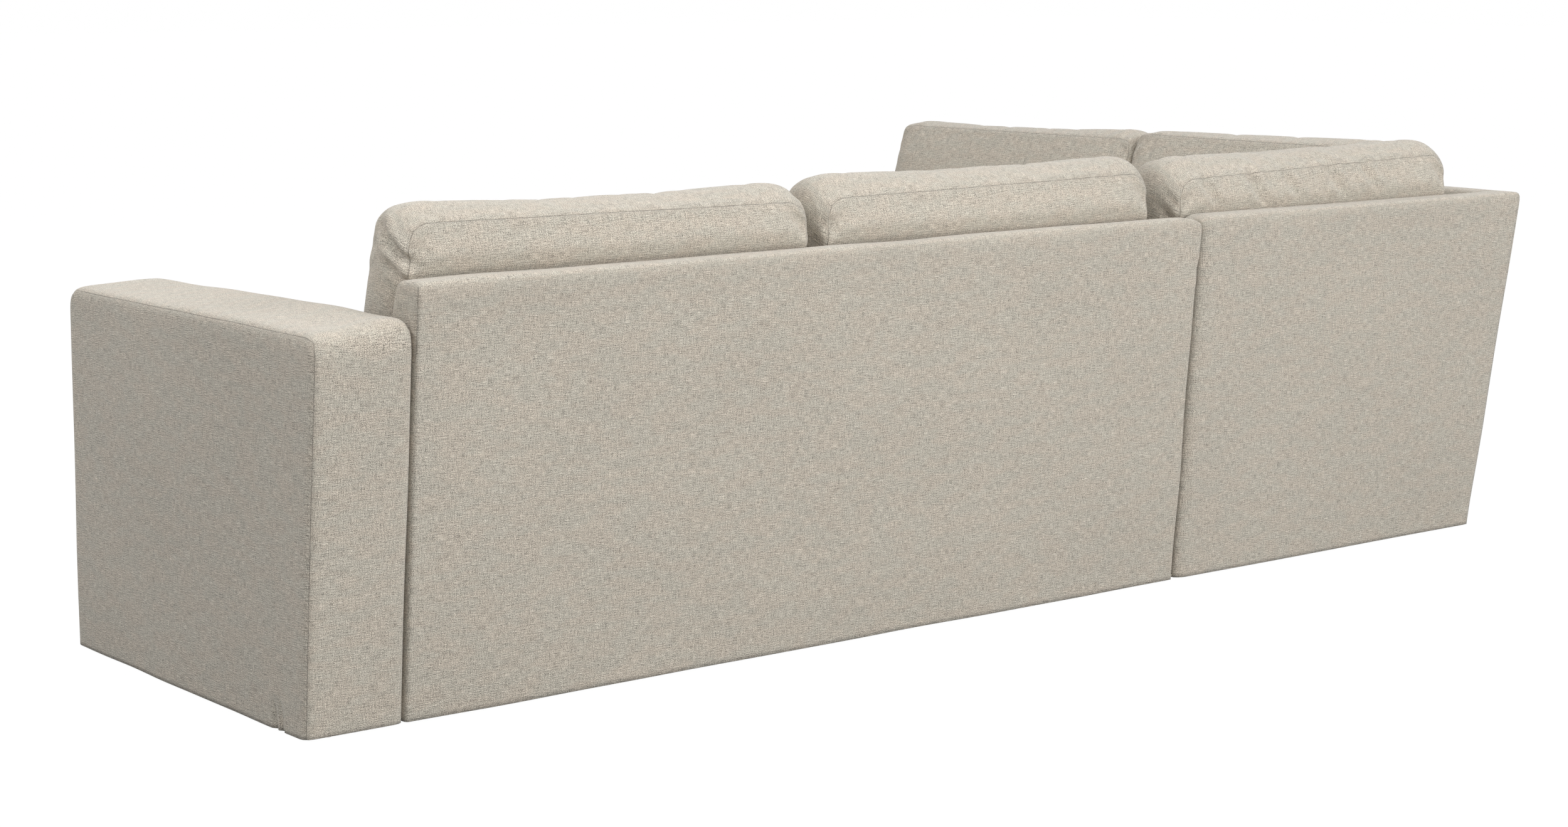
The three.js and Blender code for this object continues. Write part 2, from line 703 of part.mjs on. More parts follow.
const bayEdge = (armWidth + sofaUnitLength) / 2;
const sofaBays = [
  [armWidth + cushionGap, bayEdge - cushionGap / 2],
  [bayEdge + cushionGap / 2, sofaEnd - cushionGap / 2],
];

function buildBackCushions() {
  const length = sofaBays[1][1] - sofaBays[1][0] - backCushionSlack;
  [armWidth + armCushionGap, sofaBays[1][0]].forEach((start, i) => {
    addPiece(`sofa_back_cushion_${i + 1}`, rearBackCushion([start, start + length]), fabric);
  });
  const cornerBay = [chaiseStart + cushionGap / 2, sideIn(seatHeight) - cornerCushionGap];
  addPiece('corner_back_cushion', rearBackCushion(cornerBay), fabric);
  const sideBays = [
    [shifted(cushionFront, backCushionCrown + cushionGap), sideCushionMeeting - cushionGap / 2],
    [sideCushionMeeting + cushionGap / 2, sideCushionMeeting + sideCushionLength],
  ];
  sideBays.forEach((bay, i) => {
    addPiece(`side_back_cushion_${i + 1}`, sideBackCushion(bay, sideCushionHeights[i]), fabric);
  });
}

// Seat cushions are flat where the back cushions stand and fall away in front of them
function buildSeatCushions() {
  const rear = shifted(rearIn, gap);
  const heights = [deckHeight, seatHeight - seatCrown];
  const radius = {
    x: [seatCushionRadius, seatCushionRadius],
    y: [seatCushionRadius, seatCushionRadius],
    z: [seatCushionRadius, seatCushionRadius],
  };
  const swell = { y: [0, cushionDrawIn], z: [0, seatCrown] };
  const flatDepth = cushionFront(seatHeight) - rear(seatHeight);
  const front = sofaDepth + seatOverhang;
  sofaBays.forEach((bay, i) => {
    const shape = paddedSolid(levels(bay, [rear, front], heights), {
      radius,
      swell,
      plateau: { y: [0, flatDepth / (front - rear(seatHeight))] },
      counts: [8, 8, 6],
    });
    addPiece(`sofa_seat_cushion_${i + 1}`, shape, fabric);
  });

  const chaiseFront = chaiseDepth + seatOverhang;
  const inner = chaiseStart + cushionGap / 2;
  const flatStart = sideCushionFront(seatHeight) - inner;
  const long = paddedSolid(levels([inner, sideOut], [rear, chaiseFront], heights), {
    radius,
    swell,
    plateau: {
      x: [flatStart / 2 / (sideOut(seatHeight) - inner), flatStart / (sideOut(seatHeight) - inner)],
      y: [0, sideBackDepth / chaiseFront],
    },
    counts: [8, 12, 6],
  });
  const backRoom = prism(levels(
    [shifted(sideIn, -gap), totalUnitLength + chaiseUnitWidth],
    [rearOut(backHeight) - overrun, sideBackDepth + cushionGap],
    [deckHeight - overrun, seatHeight + overrun],
  ));
  addPiece('chaise_seat_cushion', cut(long, backRoom), fabric);
}

buildArm();

const sofaBackX = [armWidth + gap, sofaEnd];
const sofaHollowX = [sofaBackX[0] + coverThickness, sofaBackX[1] - coverThickness];
const sofaMiddle = (sofaHollowX[0] + sofaHollowX[1]) / 2;
buildRearBack('sofa', sofaBackX, [seamRadius, edgeRadius], sofaHollowX, [
  ['back_arm_post', [sofaHollowX[0] + gap, sofaHollowX[0] + gap + postWidth]],
  ['back_middle_post', [sofaMiddle - postWidth / 2, sofaMiddle + postWidth / 2]],
  ['back_joint_post', [sofaHollowX[1] - gap - postWidth, sofaHollowX[1] - gap]],
]);
buildSofaBase();

const cornerHollowX = [chaiseStart + coverThickness, shifted(sideOut, -coverThickness)];
buildRearBack('corner', [chaiseStart, sideOut], [edgeRadius, edgeRadius], cornerHollowX, [
  ['back_joint_post', [cornerHollowX[0] + gap, cornerHollowX[0] + gap + postWidth]],
]);
buildSideBack();
buildChaiseBase();
buildConnector();
buildSeatCushions();
buildBackCushions();

// The plan turns half round, so that the front faces -Y and the origin is under the middle of the sofa
const widestHeight = backHeight - edgeRadius;
const overallLength = sideOut(widestHeight);
const overallFront = chaiseDepth + seatOverhang + cushionDrawIn;
plan.rotation.z = Math.PI;
plan.position.set(overallLength / 2, (overallFront + rearOut(widestHeight)) / 2, 0);
sofa.updateMatrixWorld(true);

export default sofa;
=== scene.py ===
import math

import bmesh
import bpy
import numpy as np
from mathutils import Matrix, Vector


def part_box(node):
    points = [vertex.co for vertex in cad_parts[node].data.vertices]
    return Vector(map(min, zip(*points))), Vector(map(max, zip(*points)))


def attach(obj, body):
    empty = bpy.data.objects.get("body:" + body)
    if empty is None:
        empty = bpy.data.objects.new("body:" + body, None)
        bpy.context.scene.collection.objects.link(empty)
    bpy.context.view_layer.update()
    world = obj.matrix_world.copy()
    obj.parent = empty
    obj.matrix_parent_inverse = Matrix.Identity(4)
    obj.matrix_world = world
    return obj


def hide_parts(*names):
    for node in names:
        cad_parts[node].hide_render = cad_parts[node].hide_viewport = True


# A corner sofa in two units: upholstered covers over a timber frame, loose seat and back cushions.
# Metres. Pieces are laid out on the plan of the CAD model: x runs along the back from the outer side
# of the arm, y from the foot of the rear back towards the front, z up. The plan is turned half round
# into the frame.

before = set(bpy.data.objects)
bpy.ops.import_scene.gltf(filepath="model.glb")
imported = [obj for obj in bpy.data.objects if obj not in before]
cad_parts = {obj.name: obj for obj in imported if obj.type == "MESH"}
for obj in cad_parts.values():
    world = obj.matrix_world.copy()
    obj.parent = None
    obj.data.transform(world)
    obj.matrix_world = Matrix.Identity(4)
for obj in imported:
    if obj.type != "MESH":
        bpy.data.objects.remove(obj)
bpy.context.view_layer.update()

# Driving dimensions, as in the CAD model
SOFA_UNIT_LENGTH = 1.962
CHAISE_UNIT_WIDTH = 0.931
SOFA_DEPTH = 0.846
CHAISE_DEPTH = 2.3
SIDE_BACK_DEPTH = 1.8
ARM_WIDTH = 0.184
ARM_HEIGHT = 0.656
BACK_HEIGHT = 0.738
BACK_TOP_THICKNESS = 0.07
SEAT_HEIGHT = 0.45
SEAT_CUSHION_THICKNESS = 0.16
BACK_CUSHION_HEIGHT = 0.368
SIDE_CUSHION_HEIGHTS = (0.36, 0.344)
BACK_CUSHION_THICKNESS = 0.145
BACK_RAKE = math.tan(math.radians(5))
CUSHION_LEAN = math.radians(15)
COVER_THICKNESS = 0.012
FLOOR_CLEARANCE = 0.008
DECK_PAD_THICKNESS = 0.0164
BORDER_LIP_WIDTH = 0.05
GAP = 0.0003
UNIT_GAP = 0.001
CUSHION_GAP = 0.001
SEAT_OVERHANG = 0.014
BACK_CUSHION_CROWN = 0.026
ARM_CUSHION_GAP = 0.02
BACK_CUSHION_SLACK = 0.062
CORNER_CUSHION_GAP = 0.021
SIDE_CUSHION_MEETING = 0.925
SIDE_CUSHION_LENGTH = 0.835

DECK_HEIGHT = SEAT_HEIGHT - SEAT_CUSHION_THICKNESS
TUCK_HEIGHT = DECK_HEIGHT - GAP - DECK_PAD_THICKNESS
TOTAL_LENGTH = SOFA_UNIT_LENGTH + CHAISE_UNIT_WIDTH
SOFA_END = SOFA_UNIT_LENGTH - UNIT_GAP / 2
CHAISE_START = SOFA_UNIT_LENGTH + UNIT_GAP / 2
PLAN_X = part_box("arm_cover")[1].x
PLAN_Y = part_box("arm_cover")[0].y + SOFA_DEPTH

def rear_out(z):
    return -BACK_RAKE * z


def rear_in(z):
    return rear_out(BACK_HEIGHT) + BACK_TOP_THICKNESS + (BACK_HEIGHT - z) * math.tan(CUSHION_LEAN)


def side_out(z):
    return TOTAL_LENGTH + BACK_RAKE * z


def side_in(z):
    return TOTAL_LENGTH - rear_in(z)


def rear_in_above_deck(z):
    return rear_in(np.maximum(z, DECK_HEIGHT))


def side_in_above_deck(z):
    return side_in(np.maximum(z, DECK_HEIGHT))


def shifted(edge, distance):
    return lambda z: value_at(edge, z) + distance


def value_at(edge, z):
    return edge(z) if callable(edge) else edge + 0 * z


def to_frame(points):
    """From the plan to the frame: half a turn about the vertical."""
    return np.column_stack([PLAN_X - points[:, 0], PLAN_Y - points[:, 1], points[:, 2]])


# Node trees


def connect(tree, node, inputs):
    """Sets the inputs of a node, each to a value or to another node's output."""
    for name, value in inputs.items():
        if isinstance(value, bpy.types.NodeSocket):
            tree.links.new(value, node.inputs[name])
        else:
            node.inputs[name].default_value = value


def add_node(tree, kind, inputs=None, **settings):
    node = tree.nodes.new(kind)
    for name, value in settings.items():
        setattr(node, name, value)
    connect(tree, node, inputs or {})
    return node


def object_place(tree):
    return add_node(tree, "ShaderNodeTexCoord").outputs["Object"]


def math_node(tree, operation, *values):
    return add_node(tree, "ShaderNodeMath", dict(enumerate(values)), operation=operation).outputs[0]


def times(tree, first, second):
    return math_node(tree, "MULTIPLY", first, second)


def plus(tree, first, second):
    return math_node(tree, "ADD", first, second)


def ramp(tree, value, low, high):
    """Smooth step of a value from 0 at low to 1 at high."""
    inputs = {"Value": value, "From Min": low, "From Max": high}
    return add_node(tree, "ShaderNodeMapRange", inputs, interpolation_type="SMOOTHSTEP").outputs[0]


def fall(tree, value, low, high):
    return math_node(tree, "SUBTRACT", 1.0, ramp(tree, value, low, high))


def mix_colour(tree, share, first, second, blend="MIX"):
    inputs = {0: share, 6: first, 7: second}
    return add_node(tree, "ShaderNodeMix", inputs, data_type="RGBA", blend_type=blend).outputs[2]


def noise(tree, vector, scale, detail=2, roughness=0.5, stretch=(1, 1, 1)):
    """Noise over a vector, with its cells stretched by the given scales."""
    spot = add_node(tree, "ShaderNodeMapping", {"Vector": vector, "Scale": stretch}).outputs[0]
    inputs = {"Vector": spot, "Scale": scale, "Detail": detail, "Roughness": roughness}
    return add_node(tree, "ShaderNodeTexNoise", inputs).outputs["Fac"]


def new_material(name):
    material = bpy.data.materials.new(name)
    material.use_nodes = True
    tree = material.node_tree
    shader = next(n for n in tree.nodes if n.type == "BSDF_PRINCIPLED")
    return material, tree, shader


def srgb(red, green, blue):
    """A linear colour from sRGB values up to 255."""
    shares = [v / 255 for v in (red, green, blue)]
    return tuple(s / 12.92 if s <= 0.04045 else ((s + 0.055) / 1.055) ** 2.4 for s in shares) + (1,)


def set_surface(tree, shader, colour, roughness, height, depth):
    """Gives a shader its colour, its roughness and a relief of the depth in metres."""
    bump = add_node(tree, "ShaderNodeBump", {"Height": height, "Distance": depth})
    connect(tree, shader, {"Base Color": colour, "Roughness": roughness, "Normal": bump.outputs[0]})


# Materials

# Cells of noise in a metre of cloth, along the level threads and across them
WEFT_CELLS = (60, 620, 1)
WARP_CELLS = (560, 60, 1)
CROSSING_CELLS = (760, 900, 1)
BUNCH_CELLS = (17, 60, 1)
KNOT_CELLS = (620, 70, 1)
HUE_CELLS = (14, 34, 1)
TONE_CELLS = 4
STITCH_CELLS = 420
PUCKER_CELLS = 130

# Distances from a seam, in metres, over which its stitched line of painted shade and its puckers, with their
# faint painted shade, fade
SEAM_SHADE_LINE = (0.0001, 0.0012)
SEAM_SHADE_AND_PUCKERS = (0.001, 0.02)
PUCKER_LENGTH_SHARE = 0.12
THREAD_RELIEF = 0.0012

THREAD_COOL = srgb(178.5, 172.5, 160.5)
THREAD_WARM = srgb(181.5, 172.5, 159.5)
THREAD_LIGHT = srgb(214, 207, 195)
THREAD_DARK = srgb(118, 106, 94)
SEAM_SHADE = srgb(84, 74, 64)


def thread_colours(tree, cloth, weft, warp, slub):
    """Shades of the threads in two hues, with pale slubs and dark knots."""
    place = object_place(tree)
    crossing = noise(tree, cloth, 1, 0, 0.5, CROSSING_CELLS)
    bunch = noise(tree, cloth, 1, 2, 0.6, BUNCH_CELLS)
    tone = noise(tree, place, TONE_CELLS, 2, 0.5)
    shade = 1.0
    for value, reach in ((weft, 0.7), (warp, 0.62), (crossing, 2.6), (bunch, 0.1), (tone, 0.1)):
        level = math_node(tree, "SUBTRACT", shade, reach / 2)
        shade = math_node(tree, "MULTIPLY_ADD", value, reach, level)
    grey = add_node(tree, "ShaderNodeCombineXYZ", {"X": shade, "Y": shade, "Z": shade}).outputs[0]
    knot = ramp(tree, noise(tree, cloth, 1, 1, 0.4, KNOT_CELLS), 0.58, 0.8)
    hue = ramp(tree, noise(tree, cloth, 1, 2, 0.6, HUE_CELLS), 0.38, 0.62)
    colour = mix_colour(tree, hue, THREAD_COOL, THREAD_WARM)
    colour = mix_colour(tree, 1.0, colour, grey, "MULTIPLY")
    colour = mix_colour(tree, times(tree, slub, 0.2), colour, THREAD_LIGHT)
    return mix_colour(tree, times(tree, knot, 0.1), colour, THREAD_DARK)


def seam_shade_and_puckers(tree):
    """Shares of the stitched line of painted seam shade, of the cloth near a seam, which gets a faint
    painted shade and the pucker relief, and of the puckers across it.
    """
    seam = add_node(tree, "ShaderNodeAttribute", attribute_name="seam").outputs["Fac"]
    along = add_node(tree, "ShaderNodeAttribute", attribute_name="along").outputs["Fac"]
    stitch_at = add_node(tree, "ShaderNodeCombineXYZ", {"X": along}).outputs[0]
    stitch = noise(tree, stitch_at, STITCH_CELLS, 1, 0.5)
    inputs = {"Value": stitch, "From Min": 0.3, "From Max": 0.7, "To Min": 0.35}
    stitched = add_node(tree, "ShaderNodeMapRange", inputs).outputs[0]
    # The dark line along the seam is painted shade of the seam groove, broken into stitches
    line = times(tree, fall(tree, seam, *SEAM_SHADE_LINE), stitched)
    across = times(tree, seam, PUCKER_LENGTH_SHARE)
    pucker_at = add_node(tree, "ShaderNodeCombineXYZ", {"X": along, "Y": across}).outputs[0]
    return line, fall(tree, seam, *SEAM_SHADE_AND_PUCKERS), noise(tree, pucker_at, PUCKER_CELLS, 1, 0.5)


def make_upholstery():
    """Heathered linen weave: slubs along the weft, fine warp, seams with stitches and puckers, and painted
    shade along and beside the seams.
    """
    material, tree, shader = new_material("upholstery_fabric")
    cloth = add_node(tree, "ShaderNodeUVMap", uv_map="weave").outputs[0]
    weft = noise(tree, cloth, 1, 0, 0.5, WEFT_CELLS)
    warp = noise(tree, cloth, 1, 0, 0.5, WARP_CELLS)
    slub = ramp(tree, noise(tree, cloth, 1, 1, 0.4, WEFT_CELLS), 0.56, 0.74)
    line, near, pucker = seam_shade_and_puckers(tree)
    colour = thread_colours(tree, cloth, weft, warp, slub)
    # Painted shade: a dark stitched line along each seam groove, and a faint darkening of the cloth within
    # two centimetres of a seam
    for share in (times(tree, line, 0.42), times(tree, times(tree, near, near), 0.05)):
        colour = mix_colour(tree, share, colour, SEAM_SHADE)
    height = math_node(tree, "SUBTRACT", 0.0, times(tree, line, 1.2))
    for value, reach in ((weft, 0.55), (warp, 0.4), (slub, 0.3), (times(tree, pucker, near), 2.2)):
        height = math_node(tree, "MULTIPLY_ADD", value, reach, height)
    set_surface(tree, shader, colour, 0.92, height, THREAD_RELIEF)
    connect(tree, shader, {"Sheen Weight": 0.22, "Sheen Roughness": 0.5, "Specular IOR Level": 0.25})
    return material


def make_woven(name, dark, light, pitch):
    """A plain cloth of crossing threads, with their pitch in metres."""
    material, tree, shader = new_material(name)
    place = object_place(tree)
    inputs = {"Vector": place, "Scale": 1 / pitch / 3, "Distortion": 0.4}
    level, upright = (
        add_node(tree, "ShaderNodeTexWave", inputs, bands_direction=direction).outputs["Fac"]
        for direction in "XY"
    )
    threads = times(tree, plus(tree, level, upright), 0.5)
    share = plus(tree, times(tree, threads, 0.7), times(tree, noise(tree, place, 9, 3), 0.3))
    set_surface(tree, shader, mix_colour(tree, share, dark, light), 0.9, threads, 0.0006)
    return material


def make_timber(name, dark, light, axis_scale):
    """Sawn softwood with long grain."""
    material, tree, shader = new_material(name)
    place = object_place(tree)
    grain = noise(tree, place, 1, 4, 0.6, axis_scale)
    pores = noise(tree, place, 1, 2, 0.5, tuple(6 * s for s in axis_scale))
    share = ramp(tree, plus(tree, times(tree, grain, 0.75), times(tree, pores, 0.25)), 0.34, 0.68)
    set_surface(tree, shader, mix_colour(tree, share, dark, light), 0.7, pores, 0.0005)
    return material


def make_grainy(name, dark, light, scale, roughness, metallic=0.0, depth=0.0003):
    """A fine-grained solid such as foam, fibreboard, moulded plastic or plated steel."""
    material, tree, shader = new_material(name)
    place = object_place(tree)
    grain = noise(tree, place, scale, 4, 0.6)
    colour = mix_colour(tree, ramp(tree, grain, 0.3, 0.7), dark, light)
    set_surface(tree, shader, colour, roughness, grain, depth)
    shader.inputs["Metallic"].default_value = metallic
    return material


# Meshes on a grid of cells

# Points whose seam distance is found in one go, and the distance that counts as far, in metres
BATCH = 1500
SEAM_FAR = 0.2

# Metres of cloth between panels that face along x, y and z
PANELS_APART = 3.7


def spread(breaks, step, edge):
    """Rows between breaks, as (index of the break before, share). Next to each break comes a row at the
    distance edge from it, which sets how tightly the surface rounds there."""
    rows = [(0, 0.0)]
    for k in range(len(breaks) - 1):
        length = abs(value_at(breaks[k + 1], SEAT_HEIGHT) - value_at(breaks[k], SEAT_HEIGHT))
        margin = min(edge, length / 2)
        count = max(1, round((length - 2 * margin) / step))
        inner = np.linspace(margin, length - margin, count + 1) / length
        inner = inner[:1] if margin == length / 2 else inner
        rows += [(k, share) for share in inner] + [(k, 1.0)]
    return rows


def row_values(breaks, rows, indices, z):
    """The places of grid rows, with the breaks taken at height z."""
    segment = np.array([k for k, _ in rows])[indices]
    share = np.array([s for _, s in rows])[indices]
    low = np.zeros(len(indices))
    high = np.zeros(len(indices))
    for k in range(len(breaks) - 1):
        here = segment == k
        low[here] = value_at(breaks[k], z[here])
        high[here] = value_at(breaks[k + 1], z[here])
    return low + share * (high - low)


def cell_surface(cells):
    """Quads round the filled cells: grid places of the corners, faces, and for each face its axis and
    whether it is on the high side."""
    filled = np.pad(cells, 1).astype(int)
    shape = np.array(cells.shape) + 1
    quads, axes, highs = [], [], []
    for axis in range(3):
        others = [k for k in range(3) if k != axis]
        change = np.diff(filled, axis=axis)
        for high in (False, True):
            found = np.argwhere(change == (-1 if high else 1))
            found[:, others] -= 1
            corners = []
            for along, across in ((0, 0), (1, 0), (1, 1), (0, 1)):
                corner = found.copy()
                corner[:, others[0]] += along
                corner[:, others[1]] += across
                corners.append(np.ravel_multi_index(corner.T, shape))
            quad = np.column_stack(corners)
            outward = high != (axis == 1)
            quads.append(quad if outward else quad[:, ::-1])
            axes += [axis] * len(quad)
            highs += [high] * len(quad)
    used, faces = np.unique(np.concatenate(quads), return_inverse=True)
    places = np.column_stack(np.unravel_index(used, shape))
    return places, faces.reshape(-1, 4), np.array(axes), np.array(highs)


def grid_surface(breaks, step, edge, cells=None):
    """The surface of the filled cells between breaks along x, y and z: points, faces, axis and side of
    each face, and for each axis which points are at its low and at its high end."""
    rows = [spread(b, step, edge) for b in breaks]
    filled = np.ones([len(r) - 1 for r in rows], bool)
    if cells is not None:
        segments = [np.array([k for k, _ in r[1:]]) for r in rows]
        filled = cells(*np.meshgrid(*segments, indexing="ij"))
    places, faces, axes, highs = cell_surface(filled)
    z = row_values(breaks[2], rows[2], places[:, 2], np.zeros(len(places)))
    x = row_values(breaks[0], rows[0], places[:, 0], z)
    y = row_values(breaks[1], rows[1], places[:, 1], z)
    ends = [(places[:, k] == 0, places[:, k] == filled.shape[k]) for k in range(3)]
    return np.column_stack([x, y, z]), faces, axes, highs, ends


def seam_fields(points, flags):
    """Distance of every point from the nearest flagged one, and the place of that one along its seam."""
    distance = np.full(len(points), 1.0)
    along = np.zeros(len(points))
    seams = points[flags]
    if not len(seams):
        return distance, along
    run = seams.sum(axis=1)
    for start in range(0, len(points), BATCH):
        part = points[start:start + BATCH]
        apart = np.abs(part[:, None, :] - seams[None, :, :]).max(axis=2)
        nearest = apart.argmin(axis=1)
        distance[start:start + BATCH] = apart[np.arange(len(part)), nearest]
        along[start:start + BATCH] = run[nearest]
    return np.minimum(distance, SEAM_FAR), along


def build_object(name, points, faces, uv=None, fields=None):
    mesh = bpy.data.meshes.new(name)
    mesh.from_pydata(points.tolist(), [], faces.tolist())
    if uv is not None:
        layer = mesh.uv_layers.new(name="weave")
        layer.data.foreach_set("uv", uv.astype(np.float32).ravel())
    for field, values in (fields or {}).items():
        mesh.attributes.new(field, "FLOAT", "POINT")
        set_field(mesh, field, values)
    mesh.shade_smooth()
    obj = bpy.data.objects.new(name, mesh)
    bpy.context.scene.collection.objects.link(obj)
    return obj


def panel_uv(points, faces, axes):
    """Cloth coordinates in metres on each panel: level threads run along the first of them."""
    corners = points[faces]
    pairs = np.array([(1, 2), (0, 2), (0, 1)])[axes]
    shift = axes * PANELS_APART
    u = np.take_along_axis(corners, pairs[:, None, :1].repeat(4, 1), 2)[:, :, 0] + shift[:, None]
    v = np.take_along_axis(corners, pairs[:, None, 1:].repeat(4, 1), 2)[:, :, 0]
    return np.stack([u, v], -1)


def read_values(items, name, width):
    values = np.empty(len(items) * width, np.float32)
    items.foreach_get(name, values)
    return values.reshape(-1, width).astype(float)


def coordinates(mesh):
    return read_values(mesh.vertices, "co", 3)


def normals(mesh):
    return read_values(mesh.vertex_normals, "vector", 3)


def field(mesh, name):
    return read_values(mesh.attributes[name].data, "value", 1)[:, 0]


def set_field(mesh, name, values):
    mesh.attributes[name].data.foreach_set("value", values.astype(np.float32))


def set_coordinates(mesh, values):
    mesh.vertices.foreach_set("co", values.astype(np.float32).ravel())
    mesh.update()


def subdivide(obj, levels):
    """Replaces the mesh by its subdivision surface."""
    modifier = obj.modifiers.new("smooth", "SUBSURF")
    modifier.levels = levels
    modifier.render_levels = levels
    graph = bpy.context.evaluated_depsgraph_get()
    mesh = bpy.data.meshes.new_from_object(obj.evaluated_get(graph))
    obj.modifiers.clear()
    old = obj.data
    obj.data = mesh
    bpy.data.meshes.remove(old)
    mesh.name = obj.name


def waves(points, amplitude, lengths, seed, count=9):
    """A gentle unevenness: a sum of plane waves of wavelengths between the given two."""
    draw = np.random.default_rng(seed)
    total = np.zeros(len(points))
    for _ in range(count):
        direction = draw.normal(size=3)
        direction /= np.linalg.norm(direction)
        length = draw.uniform(*lengths)
        total += np.sin(points @ direction * 2 * math.pi / length + draw.uniform(0, 2 * math.pi))
    return amplitude * total / math.sqrt(count)


def smooth_step(values, low, high):
    share = np.clip((values - low) / (high - low), 0, 1)
    return share * share * (3 - 2 * share)


def round_corner(points, plane, corner, inward, radius):
    """Rounds a corner of a block in one plane. The radius is one value or one for each point."""
    inward = np.array(inward)
    radius = np.broadcast_to(radius, len(points))[:, None]
    core = np.array(corner) + inward * radius
    away = points[:, plane] - core
    inside = (away * inward < 0).all(axis=1)
    reach = np.abs(away).max(axis=1)[inside]
    length = np.linalg.norm(away, axis=1)[inside]
    rounded = core[inside] + away[inside] * (reach / length)[:, None]
    points[np.ix_(np.where(inside)[0], plane)] = rounded
    return points


# Covers over the frame

GROOVE_DEPTH = 0.001
GROOVE_WIDTH = 0.004
CLOTH_THICKNESS = 0.0025
COVER_WAVE_HEIGHT = 0.0012
COVER_WAVES = (0.18, 0.6)
HEM_DEPTH = 0.0115
HEM_DROP = 0.004
HEM_REACH = 0.05
TUCKED_STEP = 0.005


def add_hem(mesh):
    """Turns the cloth in at the floor, along every open edge that is down there."""
    edit = bmesh.new()
    edit.from_mesh(mesh)
    edit.normal_update()
    low = FLOOR_CLEARANCE + 0.002
    edges = [e for e in edit.edges if e.is_boundary and all(v.co.z < low for v in e.verts)]
    made = bmesh.ops.extrude_edge_only(edit, edges=edges)["geom"]
    for vertex in (v for v in made if isinstance(v, bmesh.types.BMVert)):
        source = next(e.other_vert(vertex) for e in vertex.link_edges if e.other_vert(vertex) not in made)
        inward = Vector((-source.normal.x, -source.normal.y, 0)).normalized()
        vertex.co += inward * HEM_DEPTH
    edit.to_mesh(mesh)
    edit.free()


def cover_surface(name, breaks, keep, seams, cells, step, edge, corners, corner_radius):
    """The smooth surface of a cover before it is shaped."""
    points, faces, axes, highs, ends = grid_surface(breaks, step, edge, cells)
    for corner, inward in corners:
        points = round_corner(points, [1, 2], corner, inward, corner_radius)
    flags = seams(points, ends) if seams else np.zeros(len(points), bool)
    kept = keep(axes, highs, points[faces].mean(axis=1))
    used, faces = np.unique(faces[kept], return_inverse=True)
    faces = faces.reshape(-1, 4)
    points = points[used]
    distance, along = seam_fields(points, flags[used])
    uv = panel_uv(points, faces, axes[kept])
    whole = build_object(name, points, faces, uv, {"seam": distance, "along": along})
    subdivide(whole, 2)
    return whole


def build_cover(parts, body, breaks, material, keep, seams=None, shape=None, cells=None, step=0.045,
                edge=0.034, seed=1, corners=(), corner_radius=0.02):
    """Covers as shells of cloth over the frame. parts names each CAD node and picks its faces by their
    centres; breaks are the edges along x, y and z; keep picks faces by their axis, side and centre;
    seams flags grid points; shape moves the finished points; cells picks the filled part of the plan;
    corners are rounded in the y-z plane."""
    name = f"{next(iter(parts))}_whole"
    whole = cover_surface(name, breaks, keep, seams, cells, step, edge, corners, corner_radius)
    rest = coordinates(whole.data)
    outward = normals(whole.data)
    moved = rest + outward * waves(rest, COVER_WAVE_HEIGHT, COVER_WAVES, seed)[:, None]
    moved -= outward * (GROOVE_DEPTH * np.exp(-(field(whole.data, "seam") / GROOVE_WIDTH) ** 2))[:, None]
    if shape is not None:
        shape(moved, rest)
    moved[:, 2] -= HEM_DROP * (1 - smooth_step(rest[:, 2], FLOOR_CLEARANCE, FLOOR_CLEARANCE + HEM_REACH))
    set_coordinates(whole.data, moved)
    add_hem(whole.data)
    set_coordinates(whole.data, to_frame(coordinates(whole.data)))
    for node, picks in parts.items():
        piece = split_off(whole, f"{node}_sewn", picks)
        solid = piece.modifiers.new("thickness", "SOLIDIFY")
        solid.thickness = CLOTH_THICKNESS
        solid.offset = -1
        hand_over(piece, node, body, material)
    bpy.data.objects.remove(whole)


def hand_over(obj, node, body, material):
    """Gives a finished piece its material and body, in place of a CAD node, which it hides."""
    obj.data.materials.append(material)
    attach(obj, body)
    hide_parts(node)


def split_off(whole, name, picks):
    """A copy of an object that keeps only the faces picked by their centres on the plan."""
    piece = whole.copy()
    piece.data = whole.data.copy()
    piece.name = piece.data.name = name
    bpy.context.scene.collection.objects.link(piece)
    if picks is None:
        return piece
    edit = bmesh.new()
    edit.from_mesh(piece.data)
    edit.faces.ensure_lookup_table()
    centres = np.array([f.calc_center_median() for f in edit.faces])
    chosen = picks(np.column_stack([PLAN_X - centres[:, 0], PLAN_Y - centres[:, 1], centres[:, 2]]))
    bmesh.ops.delete(edit, geom=[f for f, stays in zip(edit.faces, chosen) if not stays], context="FACES")
    edit.to_mesh(piece.data)
    edit.free()
    return piece


def is_floor_side(axes, highs):
    return (axes == 2) & ~highs


def near_top(z, height, reach):
    """From 0 at reach under a height to 1 at the height."""
    return smooth_step(z, height - reach, height)


ARM_EDGE = 0.03
ARM_GRID_STEP = 0.018
ARM_CROWN = 0.006
ARM_CROWN_AT_REAR = 0.002
ARM_INNER_RISE = 0.004
ARM_INNER_RISE_AT_REAR = 0.009
FOOT_TUCK_DEPTH = 0.006


